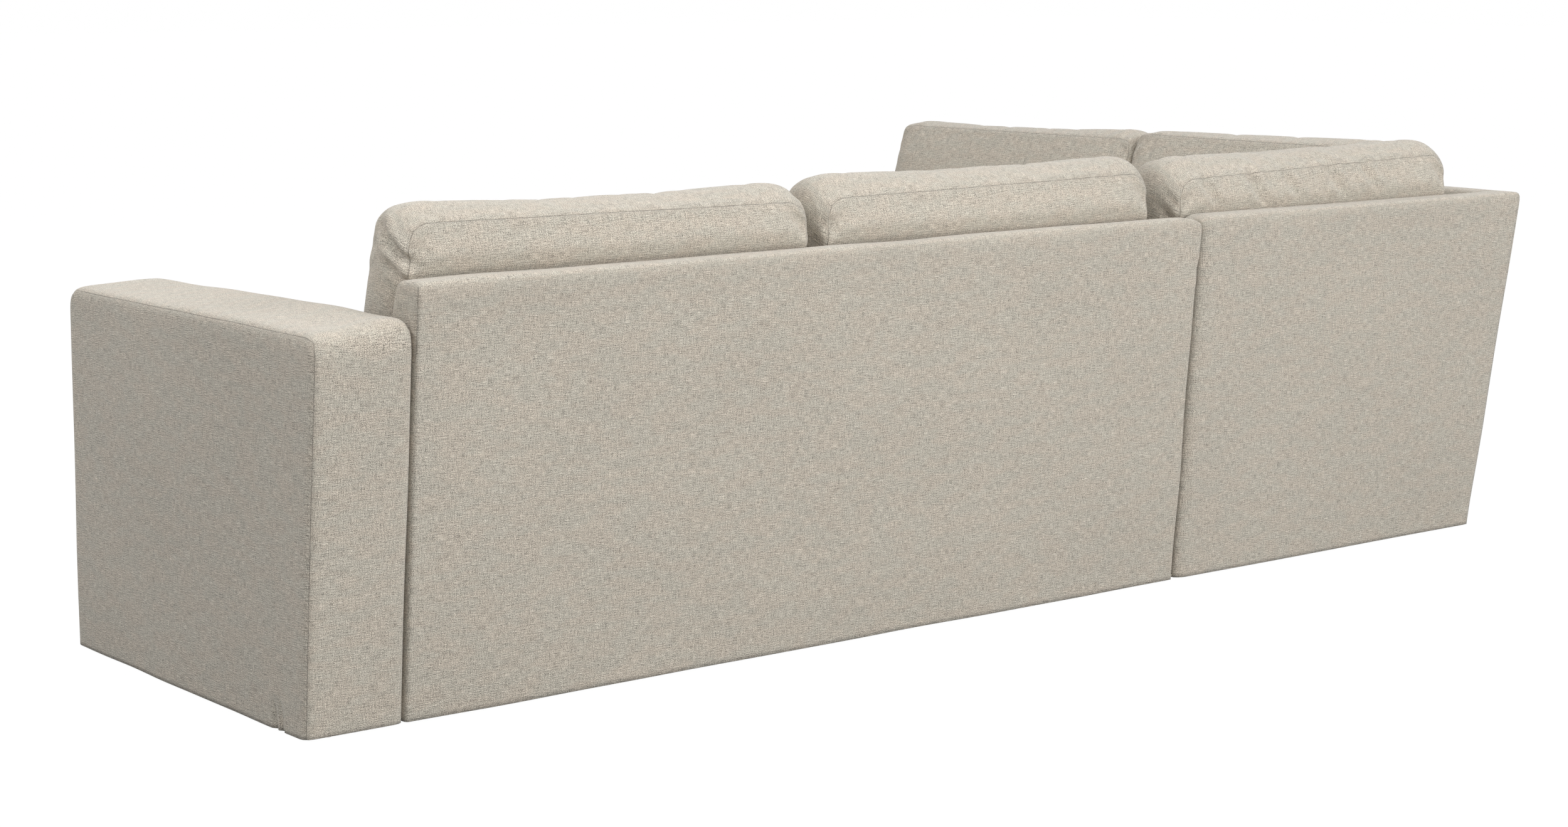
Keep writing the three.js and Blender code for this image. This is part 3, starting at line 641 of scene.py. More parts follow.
def build_arm(material):
    breaks = ([0.0, ARM_WIDTH], [rear_out, SOFA_DEPTH], [FLOOR_CLEARANCE, ARM_HEIGHT])

    def keep(axes, highs, centres):
        return ~is_floor_side(axes, highs)

    def seams(points, ends):
        round_outer = ends[0][0] & (ends[2][1] | ends[1][0] | ends[1][1])
        round_inner = ends[0][1] & (ends[2][1] | ends[1][1])
        return round_outer | round_inner

    def shape(moved, rest):
        """The top crowns and rises to the inner side, and two tucks are sewn at the foot."""
        x, y, z = rest.T
        across = np.clip(x / ARM_WIDTH, 0, 1)
        on_top = near_top(z, ARM_HEIGHT, 0.04)
        rearward = 1 - smooth_step(y, 0.15, 0.8)
        crown = ARM_CROWN + ARM_CROWN_AT_REAR * rearward
        rise = ARM_INNER_RISE + ARM_INNER_RISE_AT_REAR * rearward
        moved[:, 2] += crown * (4 * across * (1 - across)) ** 0.5 * on_top
        moved[:, 2] += rise * smooth_step(across, 0.3, 0.9) * on_top
        for start, lean, height in ((0.075, 0.10, 0.05), (0.095, 0.06, 0.035)):
            off = (y - start - lean * z) / FOOT_TUCK_DEPTH
            low = 1 - smooth_step(z, 0.02, height + 0.03)
            on_side = 1 - smooth_step(x, 0.0, 0.03)
            moved[:, 0] += FOOT_TUCK_DEPTH * np.exp(-off ** 2) * low * on_side

    corners = [((rear_out(ARM_HEIGHT), ARM_HEIGHT), (1, -1)), ((SOFA_DEPTH, ARM_HEIGHT), (-1, -1))]
    build_cover({"arm_cover": None}, "sofa_unit", breaks, material, keep, seams, shape, seed=3,
                step=ARM_GRID_STEP, edge=ARM_EDGE, corners=corners, corner_radius=ARM_EDGE)


END_STRIP = 0.05
CRISP_EDGE = 0.024
TOP_EDGE = 0.036
ARM_END_DROP = 0.0085
JOINT_DROP = 0.009
JOINT_SWELL = 0.007
JOINT_PUCKER_DEPTH = 0.003
JOINT_PUCKER_HEIGHT = 0.635
JOINT_PUCKER_WIDTH = 0.012


def build_sofa_back(material):
    breaks = (
        [ARM_WIDTH + GAP, ARM_WIDTH + GAP + CRISP_EDGE, SOFA_END - CRISP_EDGE, SOFA_END],
        [rear_out, rear_in_above_deck],
        [FLOOR_CLEARANCE, TUCK_HEIGHT, BACK_HEIGHT],
    )

    def keep(axes, highs, centres):
        low = centres[:, 2] < TUCK_HEIGHT
        inner = (axes == 1) & highs & low
        ends = (axes == 0) & low & (centres[:, 1] > END_STRIP)
        return ~(inner | ends | is_floor_side(axes, highs))

    def seams(points, ends):
        return ends[0][0] & ends[1][0] & (points[:, 2] > 0.6)

    def shape(moved, rest):
        """The top is let down where the cushions lean and at the arm end. The joint end swells over the
        gap near its top, with a pucker below."""
        x, y, z = rest.T
        depth = y - rear_out(z)
        far = np.clip((x - ARM_WIDTH) / (SOFA_END - ARM_WIDTH), 0, 1)
        inner_drop = (0.001 + 0.0035 * far) * smooth_step(depth / BACK_TOP_THICKNESS, 0.3, 1.1)
        at_end = smooth_step(x, SOFA_END - 0.05, SOFA_END)
        moved[:, 2] -= (ARM_END_DROP * (1 - far) + inner_drop) * near_top(z, BACK_HEIGHT, 0.08)
        moved[:, 2] -= JOINT_DROP * at_end ** 2 * near_top(z, BACK_HEIGHT, 0.05)
        pucker = JOINT_PUCKER_DEPTH * np.exp(-((z - JOINT_PUCKER_HEIGHT) / JOINT_PUCKER_WIDTH) ** 2)
        swell = JOINT_SWELL * smooth_step(z, 0.56, 0.69) - pucker
        moved[:, 0] += swell * at_end * (1 - smooth_step(depth, 0.008, 0.024))
        tucked = smooth_step(depth, 0.012, 0.022) * (z < TUCK_HEIGHT) * (x > SOFA_END - 0.02)
        moved[:, 0] -= TUCKED_STEP * tucked

    build_cover({"sofa_back_cover": None}, "sofa_unit", breaks, material, keep, seams, shape, seed=5,
                edge=TOP_EDGE)


JOINT_RECESS = 0.018
JOINT_SLOT = 0.009
JOINT_ROUNDING = 0.036


def build_chaise_backs(material):
    breaks = (
        [CHAISE_START, side_in_above_deck, side_out],
        [rear_out, rear_in_above_deck, SIDE_BACK_DEPTH],
        [FLOOR_CLEARANCE, TUCK_HEIGHT, BACK_HEIGHT],
    )

    def cells(i, j, k):
        return (j == 0) | (i == 1)

    def keep(axes, highs, centres):
        low = centres[:, 2] < TUCK_HEIGHT
        at_joint = (centres[:, 0] < CHAISE_START + 0.01) & (centres[:, 1] < END_STRIP)
        inner = (axes == 1) & highs & low | (axes == 0) & ~highs & low & ~at_joint
        return ~(inner | is_floor_side(axes, highs))

    def seams(points, ends):
        outer = ends[0][1] & (ends[2][1] | ends[1][0] | ends[1][1])
        return outer | ends[1][1] & ends[2][1]

    def shape(moved, rest):
        """The edge at the joint is pressed round by the other unit."""
        x, y, z = rest.T
        depth = y - rear_out(z)
        near_joint = np.clip(1 - (x - CHAISE_START) / JOINT_ROUNDING, 0, 1)
        slot = smooth_step(near_joint, 0.7, 1.0) * (1 - smooth_step(depth, 0.025, 0.045))
        moved[:, 1] += JOINT_RECESS * near_joint ** 2 * (1 - smooth_step(depth, 0.0, 0.05))
        moved[:, 0] += JOINT_SLOT * slot
        moved[:, 2] -= JOINT_DROP * near_joint ** 1.6 * near_top(z, BACK_HEIGHT, 0.05)
        tucked = smooth_step(depth, 0.012, 0.022) * (z < TUCK_HEIGHT) * (x < CHAISE_START + 0.02)
        moved[:, 0] += TUCKED_STEP * tucked

    def on_side(centres):
        """The side back takes the outer side with the corner edge, and all in front of the rear back."""
        x, y, z = centres.T
        return (x > side_out(z) - COVER_THICKNESS) | (y > rear_in_above_deck(z) + GAP + 0.005)

    parts = {"corner_back_cover": lambda c: ~on_side(c), "side_back_cover": on_side}
    build_cover(parts, "chaise_unit", breaks, material, keep, seams, shape, cells=cells, seed=6)


# The window for the hook in the two joint sides
BRACKET_LENGTH = 0.08
WINDOW_REACH = BRACKET_LENGTH / 2 + 0.01
WINDOW_Y = (SOFA_DEPTH / 2 - WINDOW_REACH, SOFA_DEPTH / 2 + WINDOW_REACH)
WINDOW_TOP = 0.2239
WINDOW_BOTTOM = 0.1003
BORDER_EDGE = 0.02
ON_FACE = 0.001


def build_sofa_borders(material):
    """The low covers under the sofa's seat, in front and on the joint side."""
    front = (
        [ARM_WIDTH + GAP, SOFA_END],
        [SOFA_DEPTH - BORDER_LIP_WIDTH, SOFA_DEPTH],
        [FLOOR_CLEARANCE, TUCK_HEIGHT, DECK_HEIGHT],
    )

    def keep_front(axes, highs, centres):
        low = centres[:, 2] < TUCK_HEIGHT
        return ~(is_floor_side(axes, highs) | (axes == 1) & ~highs & low | (axes == 0) & low)

    side = (
        [SOFA_END - COVER_THICKNESS, SOFA_END],
        [COVER_THICKNESS + GAP, *WINDOW_Y, SOFA_DEPTH - COVER_THICKNESS - GAP],
        [FLOOR_CLEARANCE, WINDOW_BOTTOM, WINDOW_TOP, TUCK_HEIGHT - GAP],
    )

    def round_window(i, j, k):
        return ~((j == 1) & (k == 1))

    def keep_side(axes, highs, centres):
        return ~is_floor_side(axes, highs) & ~((axes == 0) & ~highs)

    build_cover({"sofa_front_border_cover": None}, "sofa_unit", front, material, keep_front,
                edge=BORDER_EDGE, seed=11)
    build_cover({"sofa_joint_side_cover": None}, "sofa_unit", side, material, keep_side,
                cells=round_window, edge=COVER_THICKNESS / 2, seed=12)


def build_chaise_borders(material):
    """The low covers round the chaise's seat, as one ring that is split into three."""
    lip_x = CHAISE_START + BORDER_LIP_WIDTH
    lip_y = CHAISE_DEPTH - BORDER_LIP_WIDTH
    split_x = lip_x + 0.01
    breaks = (
        [CHAISE_START, lip_x, shifted(side_out, -BORDER_LIP_WIDTH), side_out],
        [COVER_THICKNESS + GAP, *WINDOW_Y, SIDE_BACK_DEPTH + GAP, lip_y, CHAISE_DEPTH],
        [FLOOR_CLEARANCE, WINDOW_BOTTOM, WINDOW_TOP, TUCK_HEIGHT, DECK_HEIGHT],
    )

    def ring(i, j, k):
        joint = (i == 0) & ~((j == 1) & (k == 1))
        outer = (i == 2) & (j >= 3)
        return joint | outer | (j == 4)

    def keep(axes, highs, centres):
        x, y, z = centres.T
        on_joint = np.abs(x - CHAISE_START) < ON_FACE
        on_outer = np.abs(x - side_out(z)) < ON_FACE
        on_front = np.abs(y - CHAISE_DEPTH) < ON_FACE
        on_top = (np.abs(z - DECK_HEIGHT) < ON_FACE) & (y > rear_in(DECK_HEIGHT))
        return on_joint | on_outer | on_front | on_top

    def seams(points, ends):
        return ends[1][1] & (ends[0][0] | ends[0][1])

    parts = {
        "chaise_joint_side_cover": lambda c: (c[:, 0] < split_x) & (c[:, 1] < lip_y),
        "chaise_front_border_cover": lambda c: c[:, 1] >= lip_y,
        "chaise_outer_border_cover": lambda c: (c[:, 0] > split_x) & (c[:, 1] < lip_y),
    }
    build_cover(parts, "chaise_unit", breaks, material, keep, seams, cells=ring, edge=BORDER_EDGE, seed=13)


# Loose cushions

REAR_CORNER_RADIUS = 0.038
FRONT_CORNER_RADIUS = 0.02
SEAT_CORNER_RADIUS = 0.03
BACK_CUSHION_GRID = 0.0105
SOFA_SEAT_GRID = 0.0145
CHAISE_SEAT_GRID = 0.0165
SEAM_HOLD = 0.6
GATHER_REACH = 0.09
PLAIN_GATHER_SHARE = 0.15


def even_rows(length, step):
    count = max(3, round(length / step))
    return np.linspace(0, length, count + 1)


def carry(corners, shares):
    """From shares of an upright block to the real corners: low level, then high level, each
    anticlockwise from low x and low y."""
    u, v, w = shares.T[:, :, None]
    levels = []
    for level in corners:
        a, b, c, d = [np.array(p)[None, :] for p in level]
        near = a + (b - a) * u
        far = d + (c - d) * u
        levels.append(near + (far - near) * v)
    return levels[0] + (levels[1] - levels[0]) * w


def soft_floor(values, floor, softness=0.0012):
    """Values kept above a floor, with a soft turn at it."""
    return floor + softness * np.logaddexp(0, (values - floor) / softness)


def hold_seams(obj, flat, seam, corners):
    """Vertex groups that hold the seams and gather them near the panel corners. flat has the places of
    the seam points in the plane of the panels."""
    obj.vertex_groups.new(name="held").add(seam.tolist(), SEAM_HOLD, "REPLACE")
    gathers = obj.vertex_groups.new(name="gathers")
    gathers.add(seam.tolist(), PLAIN_GATHER_SHARE, "REPLACE")
    for corner, _ in corners:
        near = np.abs(flat - np.array(corner)).max(axis=1) < GATHER_REACH
        gathers.add(seam[near].tolist(), 1.0, "REPLACE")


def cushion_object(name, size, thin, step, radii, missing=None):
    """A boxed cushion before filling: two panels joined by a boxing strip. radii are those of the panel
    corners on the low and high side; missing is a corner cut out of the panels, as (a, b), leaving an L."""
    rows = [even_rows(length, step) for length in size]
    cells = np.ones([len(r) - 1 for r in rows], bool)
    a, b = [k for k in range(3) if k != thin]
    la, lb = size[a], size[b]
    corners = [((0, 0), (1, 1)), ((la, 0), (-1, 1)), ((la, lb), (-1, -1)), ((0, lb), (1, -1))]
    if missing is not None:
        corners[1:2] = [((missing[0], 0), (-1, 1)), ((la, missing[1]), (-1, 1))]
        i = int(np.abs(rows[a] - missing[0]).argmin())
        j = int(np.abs(rows[b] - missing[1]).argmin())
        rows[a][i], rows[b][j] = missing
        gone = [slice(None)] * 3
        gone[a], gone[b] = slice(i, None), slice(0, j)
        cells[tuple(gone)] = False
    places, faces, axes, _ = cell_surface(cells)
    points = np.column_stack([rows[k][places[:, k]] for k in range(3)])
    boxing = np.zeros(len(points), bool)
    boxing[np.unique(faces[axes != thin])] = True
    sewn = boxing & ((places[:, thin] == 0) | (places[:, thin] == cells.shape[thin]))
    distance, along = seam_fields(points, sewn)
    uv = panel_uv(points, faces, axes)
    flat = points[sewn][:, [a, b]]
    radius = radii[0] + (radii[1] - radii[0]) * points[:, thin] / size[thin]
    for corner, inward in corners:
        points = round_corner(points, [a, b], corner, inward, radius)
    obj = build_object(name, points, faces, uv, {"seam": distance, "along": along})
    hold_seams(obj, flat, np.where(sewn)[0], corners)
    return obj


SIM_FRAMES = 20
PRESSURE = 4
SEAM_SHRINK = 0.05
SLACK = 0.01


def add_cloth(obj):
    cloth = obj.modifiers.new("filling", "CLOTH")
    settings = cloth.settings
    settings.quality = 5
    settings.mass = 0.3
    settings.tension_stiffness = 15
    settings.compression_stiffness = 15
    settings.shear_stiffness = 5
    settings.bending_stiffness = 0.5
    settings.use_pressure = True
    settings.uniform_pressure_force = PRESSURE
    settings.effector_weights.gravity = 0
    settings.vertex_group_mass = "held"
    settings.pin_stiffness = 1.0
    settings.vertex_group_shrink = "gathers"
    settings.shrink_min = -SLACK
    settings.shrink_max = SEAM_SHRINK
    cloth.point_cache.frame_start = 1
    cloth.point_cache.frame_end = SIM_FRAMES


def simulate(objects):
    """Fills the cushions, all in one run. Returns how far each point moved."""
    rest = {obj.name: coordinates(obj.data) for obj in objects}
    for obj in objects:
        add_cloth(obj)
    scene = bpy.context.scene
    for number in range(1, SIM_FRAMES + 1):
        scene.frame_set(number)
    graph = bpy.context.evaluated_depsgraph_get()
    moves = {}
    for obj in objects:
        filled = coordinates(obj.evaluated_get(graph).data)
        moves[obj.name] = filled - rest[obj.name]
    for obj in objects:
        obj.modifiers.clear()
    scene.frame_set(1)
    return moves


REACH = BACK_CUSHION_THICKNESS / math.cos(CUSHION_LEAN)
CUSHION_FOOT = SEAT_HEIGHT + GAP
BACK_EDGE = (BACK_HEIGHT - CUSHION_FOOT) / math.cos(CUSHION_LEAN)
FRONT_RISE = BACK_CUSHION_THICKNESS * math.sin(CUSHION_LEAN)

# Short folds of the back cushions: start and end as shares along the back, from the rear to the front
# and up, then depth and width in metres
FOLDS = {
    "sofa_back_cushion_1": [
        ((0.0, 0.70, 0.92), (0.0, 0.40, 0.88), 0.007, 0.009),
        ((0.0, 0.50, 0.865), (0.01, -0.02, 0.83), 0.012, 0.009),
        ((0.0, 0.84, 0.82), (0.0, 0.62, 0.86), 0.003, 0.008),
        ((0.0, 0.40, 0.78), (0.0, 0.10, 0.77), 0.006, 0.009),
        ((0.005, -0.02, 0.83), (0.07, -0.04, 0.79), 0.008, 0.009),
        ((0.01, -0.02, 0.88), (0.06, -0.03, 0.85), 0.005, 0.008),
        ((0.96, -0.02, 0.95), (0.995, 0.0, 0.86), 0.003, 0.009),
        ((0.985, 0.25, 0.97), (1.0, 0.05, 0.90), 0.003, 0.008),
    ],
    "sofa_back_cushion_2": [
        ((0.0, 0.10, 0.93), (0.02, 0.0, 0.82), 0.003, 0.009),
        ((0.97, 0.0, 0.92), (1.0, 0.1, 0.80), 0.0025, 0.010),
        ((0.93, 0.25, 1.0), (0.96, 0.0, 0.97), 0.002, 0.009),
    ],
    "corner_back_cushion": [
        ((0.08, 0.16, 0.99), (0.13, -0.03, 0.80), 0.008, 0.011),
        ((0.24, 0.18, 0.99), (0.31, -0.04, 0.76), 0.009, 0.012),
        ((0.37, 0.12, 0.98), (0.43, -0.04, 0.80), 0.006, 0.010),
        ((0.53, 0.18, 0.99), (0.60, -0.04, 0.78), 0.009, 0.012),
        ((0.66, 0.14, 0.98), (0.72, -0.04, 0.83), 0.007, 0.011),
        ((-0.01, 0.30, 0.80), (0.03, 0.0, 0.74), 0.004, 0.010),
        ((0.96, 0.0, 0.94), (0.99, 0.0, 0.84), 0.003, 0.009),
    ],
    "side_back_cushion_1": [
        ((0.97, 0.95, 0.97), (1.0, 1.0, 0.90), 0.003, 0.008),
    ],
    "side_back_cushion_2": [
        ((0.0, 0.85, 0.90), (0.0, 0.5, 0.93), 0.003, 0.008),
        ((0.0, 0.9, 0.80), (0.0, 0.6, 0.82), 0.003, 0.008),
        ((0.62, 0.95, 1.0), (0.66, 1.03, 0.92), 0.002, 0.010),
    ],
}


def top_of(height):
    return SEAT_HEIGHT + height * math.cos(CUSHION_LEAN)


def cushion_front(z):
    return rear_in(z) + REACH


def side_cushion_front(z):
    return side_in(z) - REACH


def rear_cushion_corners(start, end, height):
    def level(rear_z, front_z):
        rear, front = rear_in(rear_z) + GAP, cushion_front(front_z)
        return [(start, rear, rear_z), (end, rear, rear_z), (end, front, front_z), (start, front, front_z)]
    top = top_of(height)
    return [level(CUSHION_FOOT, CUSHION_FOOT), level(top, top + FRONT_RISE)]


def side_cushion_corners(near, far, height):
    def level(back_z, front_z):
        back, front = side_in(back_z) - GAP, side_cushion_front(front_z)
        return [
            (front, value_at(near, front_z), front_z),
            (back, value_at(near, back_z), back_z),
            (back, far, back_z),
            (front, far, front_z),
        ]
    top = top_of(height)
    return [level(CUSHION_FOOT, CUSHION_FOOT), level(top, top + FRONT_RISE)]


# How each back cushion is filled, in metres at its low end, middle and high end along the back: how far
# the rear and front seams of the top stand off the plain block and how high the top crowns between
# them. Then how far each end draws in at its rear and front seams, and the distance that is added to a
# seam to fade its groove and its painted line of shade.
FILLING_COLUMNS = ("rear_lift", "front_lift", "crown", "low_end", "high_end", "seam_fade")
FILLING = {
    "sofa_back_cushion_1": [
        (0.006, 0.004, 0.001), (-0.017, -0.015, -0.018), (0.02, 0.003, 0.018),
        (0.004, 0.018), (0.0, 0.0), 0,
    ],
    "sofa_back_cushion_2": [
        (0.002, 0.007, 0.012), (-0.013, -0.01, -0.01), (0.024, 0.01, 0.02),
        (0.0, 0.006), (0.018, 0.016), 0.0002,
    ],
    "corner_back_cushion": [
        (-0.006, 0.003, 0.012), (-0.012, -0.01, -0.009), (0.018, 0.01, 0.017),
        (0.006, 0.01), (0.01, 0.007), 0.00025,
    ],
    "side_back_cushion_1": [
        (0.004, 0.004, 0.004), (-0.008, -0.008, -0.008), (0.014, 0.006, 0.003),
        (0.004, 0.008), (0.004, 0.006), 0,
    ],
    "side_back_cushion_2": [
        (0.002, 0.002, 0.002), (-0.008, -0.008, -0.01), (0.022, 0.004, 0.01),
        (0.002, 0.006), (-0.006, -0.008), 0.0002,
    ],
}


SEAM_INSET = 0.024
END_SWELL = 0.006
OVERHANG = 0.005
FOLD_REACH = (0.035, 0.055)
CUSHION_GROOVE_DEPTH = 0.0014
CUSHION_GROOVE_WIDTH = 0.0045
BACK_CUSHION_CAP = 0.03
SEAT_CUSHION_CAP = 0.016
PLAIN_SEAT_CROWN = 0.012
STRIP_MARGIN = 0.03


def from_rear(values, length, thin):
    """Places counted from a back cushion's rear, or back again. On the side back x runs to the rear."""
    return values if thin == 1 else length - values


def press_folds(mesh, size, thin, folds):
    """Presses short folds into a cushion, with the cloth beside them raised."""
    points = coordinates(mesh)
    outward = normals(mesh)
    order = [1 - thin, thin, 2]
    for start, end, depth, width in folds:
        ends = []
        for along, through, up in (start, end):
            place = np.zeros(3)
            place[order] = along, from_rear(through, 1, thin), up
            ends.append(place * size)
        line = ends[1] - ends[0]
        share = np.clip((points - ends[0]) @ line / (line @ line), 0, 1)
        away = points - ends[0] - share[:, None] * line
        over = np.sum(away * outward, axis=1)
        apart = np.linalg.norm(away - over[:, None] * outward, axis=1) / width
        taper = np.sqrt(np.clip(4 * share * (1 - share), 0.1, 1))
        taper *= 1 - smooth_step(np.abs(over), *FOLD_REACH)
        profile = 0.6 * np.exp(-((apart - 2) / 0.9) ** 2) - np.exp(-apart ** 2)
        points += outward * (depth * taper * profile)[:, None]
    return points


def fill_out(points, size, thin, filling):
    """Moves the seams of a back cushion, crowns its top and draws its ends in."""
    run = 1 - thin
    s = np.clip(points[:, run] / size[run], 0, 1)
    t = from_rear(np.clip(points[:, thin] / size[thin], 0, 1), 1, thin)
    w = np.clip(points[:, 2] / size[2], 0, 1)

    def along(name):
        low, middle, high = filling[name]
        return low + (4 * middle - 3 * low - high) * s + 2 * (low + high - 2 * middle) * s * s

    top = smooth_step(w, 0.15, 0.95)
    lift = (1 - t) * along("rear_lift") + t * along("front_lift") + 4 * t * (1 - t) * along("crown")
    points[:, 2] += lift * top
    above = np.clip((points[:, 2] - BACK_EDGE) / (size[2] - BACK_EDGE), 0, 1.1)
    points[:, thin] += from_rear(SEAM_INSET * (1 - t) * above ** 1.3, 0, thin)
    for name, side, near in (("low_end", 1, 1 - s), ("high_end", -1, s)):
        rear, front = filling[name]
        inset = (rear + (front - rear) * t) * smooth_step(near, 0.55, 1)
        swell = END_SWELL * 4 * t * (1 - t) * smooth_step(near, 0.9, 1) * smooth_step(w, 0, 0.2)
        points[:, run] += side * (inset - swell)
    return points


def cushion_plan():
    """Every loose back cushion: its size as an upright block, thin axis and corners; and the two seat bays.
    """
    bay_edge = (ARM_WIDTH + SOFA_UNIT_LENGTH) / 2
    bays = [
        (ARM_WIDTH + CUSHION_GAP, bay_edge - CUSHION_GAP / 2),
        (bay_edge + CUSHION_GAP / 2, SOFA_END - CUSHION_GAP / 2),
    ]
    length = bays[1][1] - bays[1][0] - BACK_CUSHION_SLACK
    starts = (ARM_WIDTH + ARM_CUSHION_GAP, bays[1][0])
    corner_bay = (CHAISE_START + CUSHION_GAP / 2, side_in(SEAT_HEIGHT) - CORNER_CUSHION_GAP)
    plan = {}
    spans = {f"sofa_back_cushion_{i + 1}": (s, s + length) for i, s in enumerate(starts)}
    spans["corner_back_cushion"] = corner_bay
    for name, (start, end) in spans.items():
        plan[name] = {
            "size": (end - start, BACK_CUSHION_THICKNESS, BACK_CUSHION_HEIGHT),
            "thin": 1,
            "corners": rear_cushion_corners(start, end, BACK_CUSHION_HEIGHT),
        }
    side_spans = [
        (shifted(cushion_front, BACK_CUSHION_CROWN + CUSHION_GAP), SIDE_CUSHION_MEETING - CUSHION_GAP / 2),
        (SIDE_CUSHION_MEETING + CUSHION_GAP / 2, SIDE_CUSHION_MEETING + SIDE_CUSHION_LENGTH),
    ]
    for i, (near, far) in enumerate(side_spans):
        height = SIDE_CUSHION_HEIGHTS[i]
        middle = SEAT_HEIGHT + height / 2
        plan[f"side_back_cushion_{i + 1}"] = {
            "size": (BACK_CUSHION_THICKNESS, far - value_at(near, middle), height),
            "thin": 0,
            "corners": side_cushion_corners(near, far, height),
        }
    return plan, bays


def build_cushions(material):
    plan, bays = cushion_plan()
    objects = []
    for name, spec in plan.items():
        thin = spec["thin"]
        radii = (REAR_CORNER_RADIUS, FRONT_CORNER_RADIUS)[::2 * thin - 1]
        spec["object"] = cushion_object(f"{name}_sewn", spec["size"], thin, BACK_CUSHION_GRID, radii)
        objects.append(spec["object"])
    seats = build_seat_shapes(bays)
    objects += [spec["object"] for spec in seats.values()]
    moves = simulate(objects)
    for name, spec in plan.items():
        finish_back_cushion(name, spec, moves.get(spec["object"].name), material)
    for name, spec in seats.items():
        finish_seat_cushion(name, spec, moves.get(spec["object"].name), material)


def bulge(points, size, axes_in_plane):
    """Crown shares over the panels, 1 in the middle and 0 at the edges."""
    total = np.ones(len(points))
    for k in axes_in_plane:
        share = np.clip(points[:, k] / size[k], 0, 1)
        total *= 1 - np.abs(2 * share - 1) ** 3
    return total


def cap_moves(moves, cap):
    length = np.linalg.norm(moves, axis=1, keepdims=True)
    return moves * (cap * np.tanh(length / cap) / np.maximum(length, 1e-9))


def groove(mesh, points):
    share = np.exp(-(field(mesh, "seam") / CUSHION_GROOVE_WIDTH) ** 2)
    return points - normals(mesh) * (CUSHION_GROOVE_DEPTH * share)[:, None]


def finish_back_cushion(name, spec, moves, material):
    obj, size, thin = spec["object"], spec["size"], spec["thin"]
    points = coordinates(obj.data)
    if moves is None:
        crown = BACK_CUSHION_CROWN * bulge(points, size, (1 - thin, 2))
        front = from_rear(points[:, thin] / size[thin], 1, thin)
        points[:, thin] += from_rear(crown * front, 0, thin)
    else:
        points = points + cap_moves(moves, BACK_CUSHION_CAP)
    set_coordinates(obj.data, points)
    subdivide(obj, 1)
    filling = dict(zip(FILLING_COLUMNS, FILLING[name]))
    # The seam_fade makes this cushion's seam groove shallower and its painted seam shade fainter
    set_field(obj.data, "seam", field(obj.data, "seam") + filling["seam_fade"])
    points = groove(obj.data, press_folds(obj.data, size, thin, FOLDS.get(name, [])))
    points = fill_out(points, size, thin, filling)

    # Rests on the seat, leans on the back below its top edge
    points[:, 2] = soft_floor(points[:, 2], 0)
    over = OVERHANG * smooth_step(points[:, 2], BACK_EDGE - 0.014, BACK_EDGE + 0.004)
    leaning = soft_floor(from_rear(points[:, thin], size[thin], thin), -over)
    points[:, thin] = from_rear(leaning, size[thin], thin)
    shares = points / np.array(size)
    set_coordinates(obj.data, to_frame(carry(spec["corners"], shares)))
    hand_over(obj, name, name, material)


def build_seat_shapes(bays):
    """Seat cushions with their places: along x and y, breaks of the block and the edges they go to."""
    rear = shifted(rear_in, GAP)
    middle = SEAT_HEIGHT - SEAT_CUSHION_THICKNESS / 2
    seats = {}
    radii = (SEAT_CORNER_RADIUS, SEAT_CORNER_RADIUS)
    front = SOFA_DEPTH + SEAT_OVERHANG
    for i, bay in enumerate(bays):
        size = (bay[1] - bay[0], front - rear(middle), SEAT_CUSHION_THICKNESS)
        name = f"sofa_seat_cushion_{i + 1}"
        seats[name] = {
            "object": cushion_object(f"{name}_sewn", size, 2, SOFA_SEAT_GRID, radii),
            "size": size,
            "x": ([0, size[0]], list(bay)),
            "y": ([0, size[1]], [rear, front]),
        }
    inner = CHAISE_START + CUSHION_GAP / 2
    edges_x = [inner, shifted(side_in, -GAP), side_out]
    edges_y = [rear, SIDE_BACK_DEPTH + CUSHION_GAP, CHAISE_DEPTH + SEAT_OVERHANG]
    x = [value_at(e, middle) - inner for e in edges_x]
    y = [value_at(e, middle) - rear(middle) for e in edges_y]
    size = (x[2], y[2], SEAT_CUSHION_THICKNESS)
    name = "chaise_seat_cushion"
    seats[name] = {
        "object": cushion_object(f"{name}_sewn", size, 2, CHAISE_SEAT_GRID, radii, (x[1], y[1])),
        "size": size,
        "x": (x, edges_x),
        "y": (y, edges_y),
    }
    return seats


def between_edges(values, places, edges, z):
    """Carries block places to the plan, straight between edges that lean with the height."""
    at = np.array([value_at(e, z) for e in edges])
    total = at[0] + (values - places[0]) * (at[1] - at[0]) / (places[1] - places[0])
    for k in range(1, len(places) - 1):
        beyond = at[k] + (values - places[k]) * (at[k + 1] - at[k]) / (places[k + 1] - places[k])
        total = np.where(values > places[k], beyond, total)
    return total


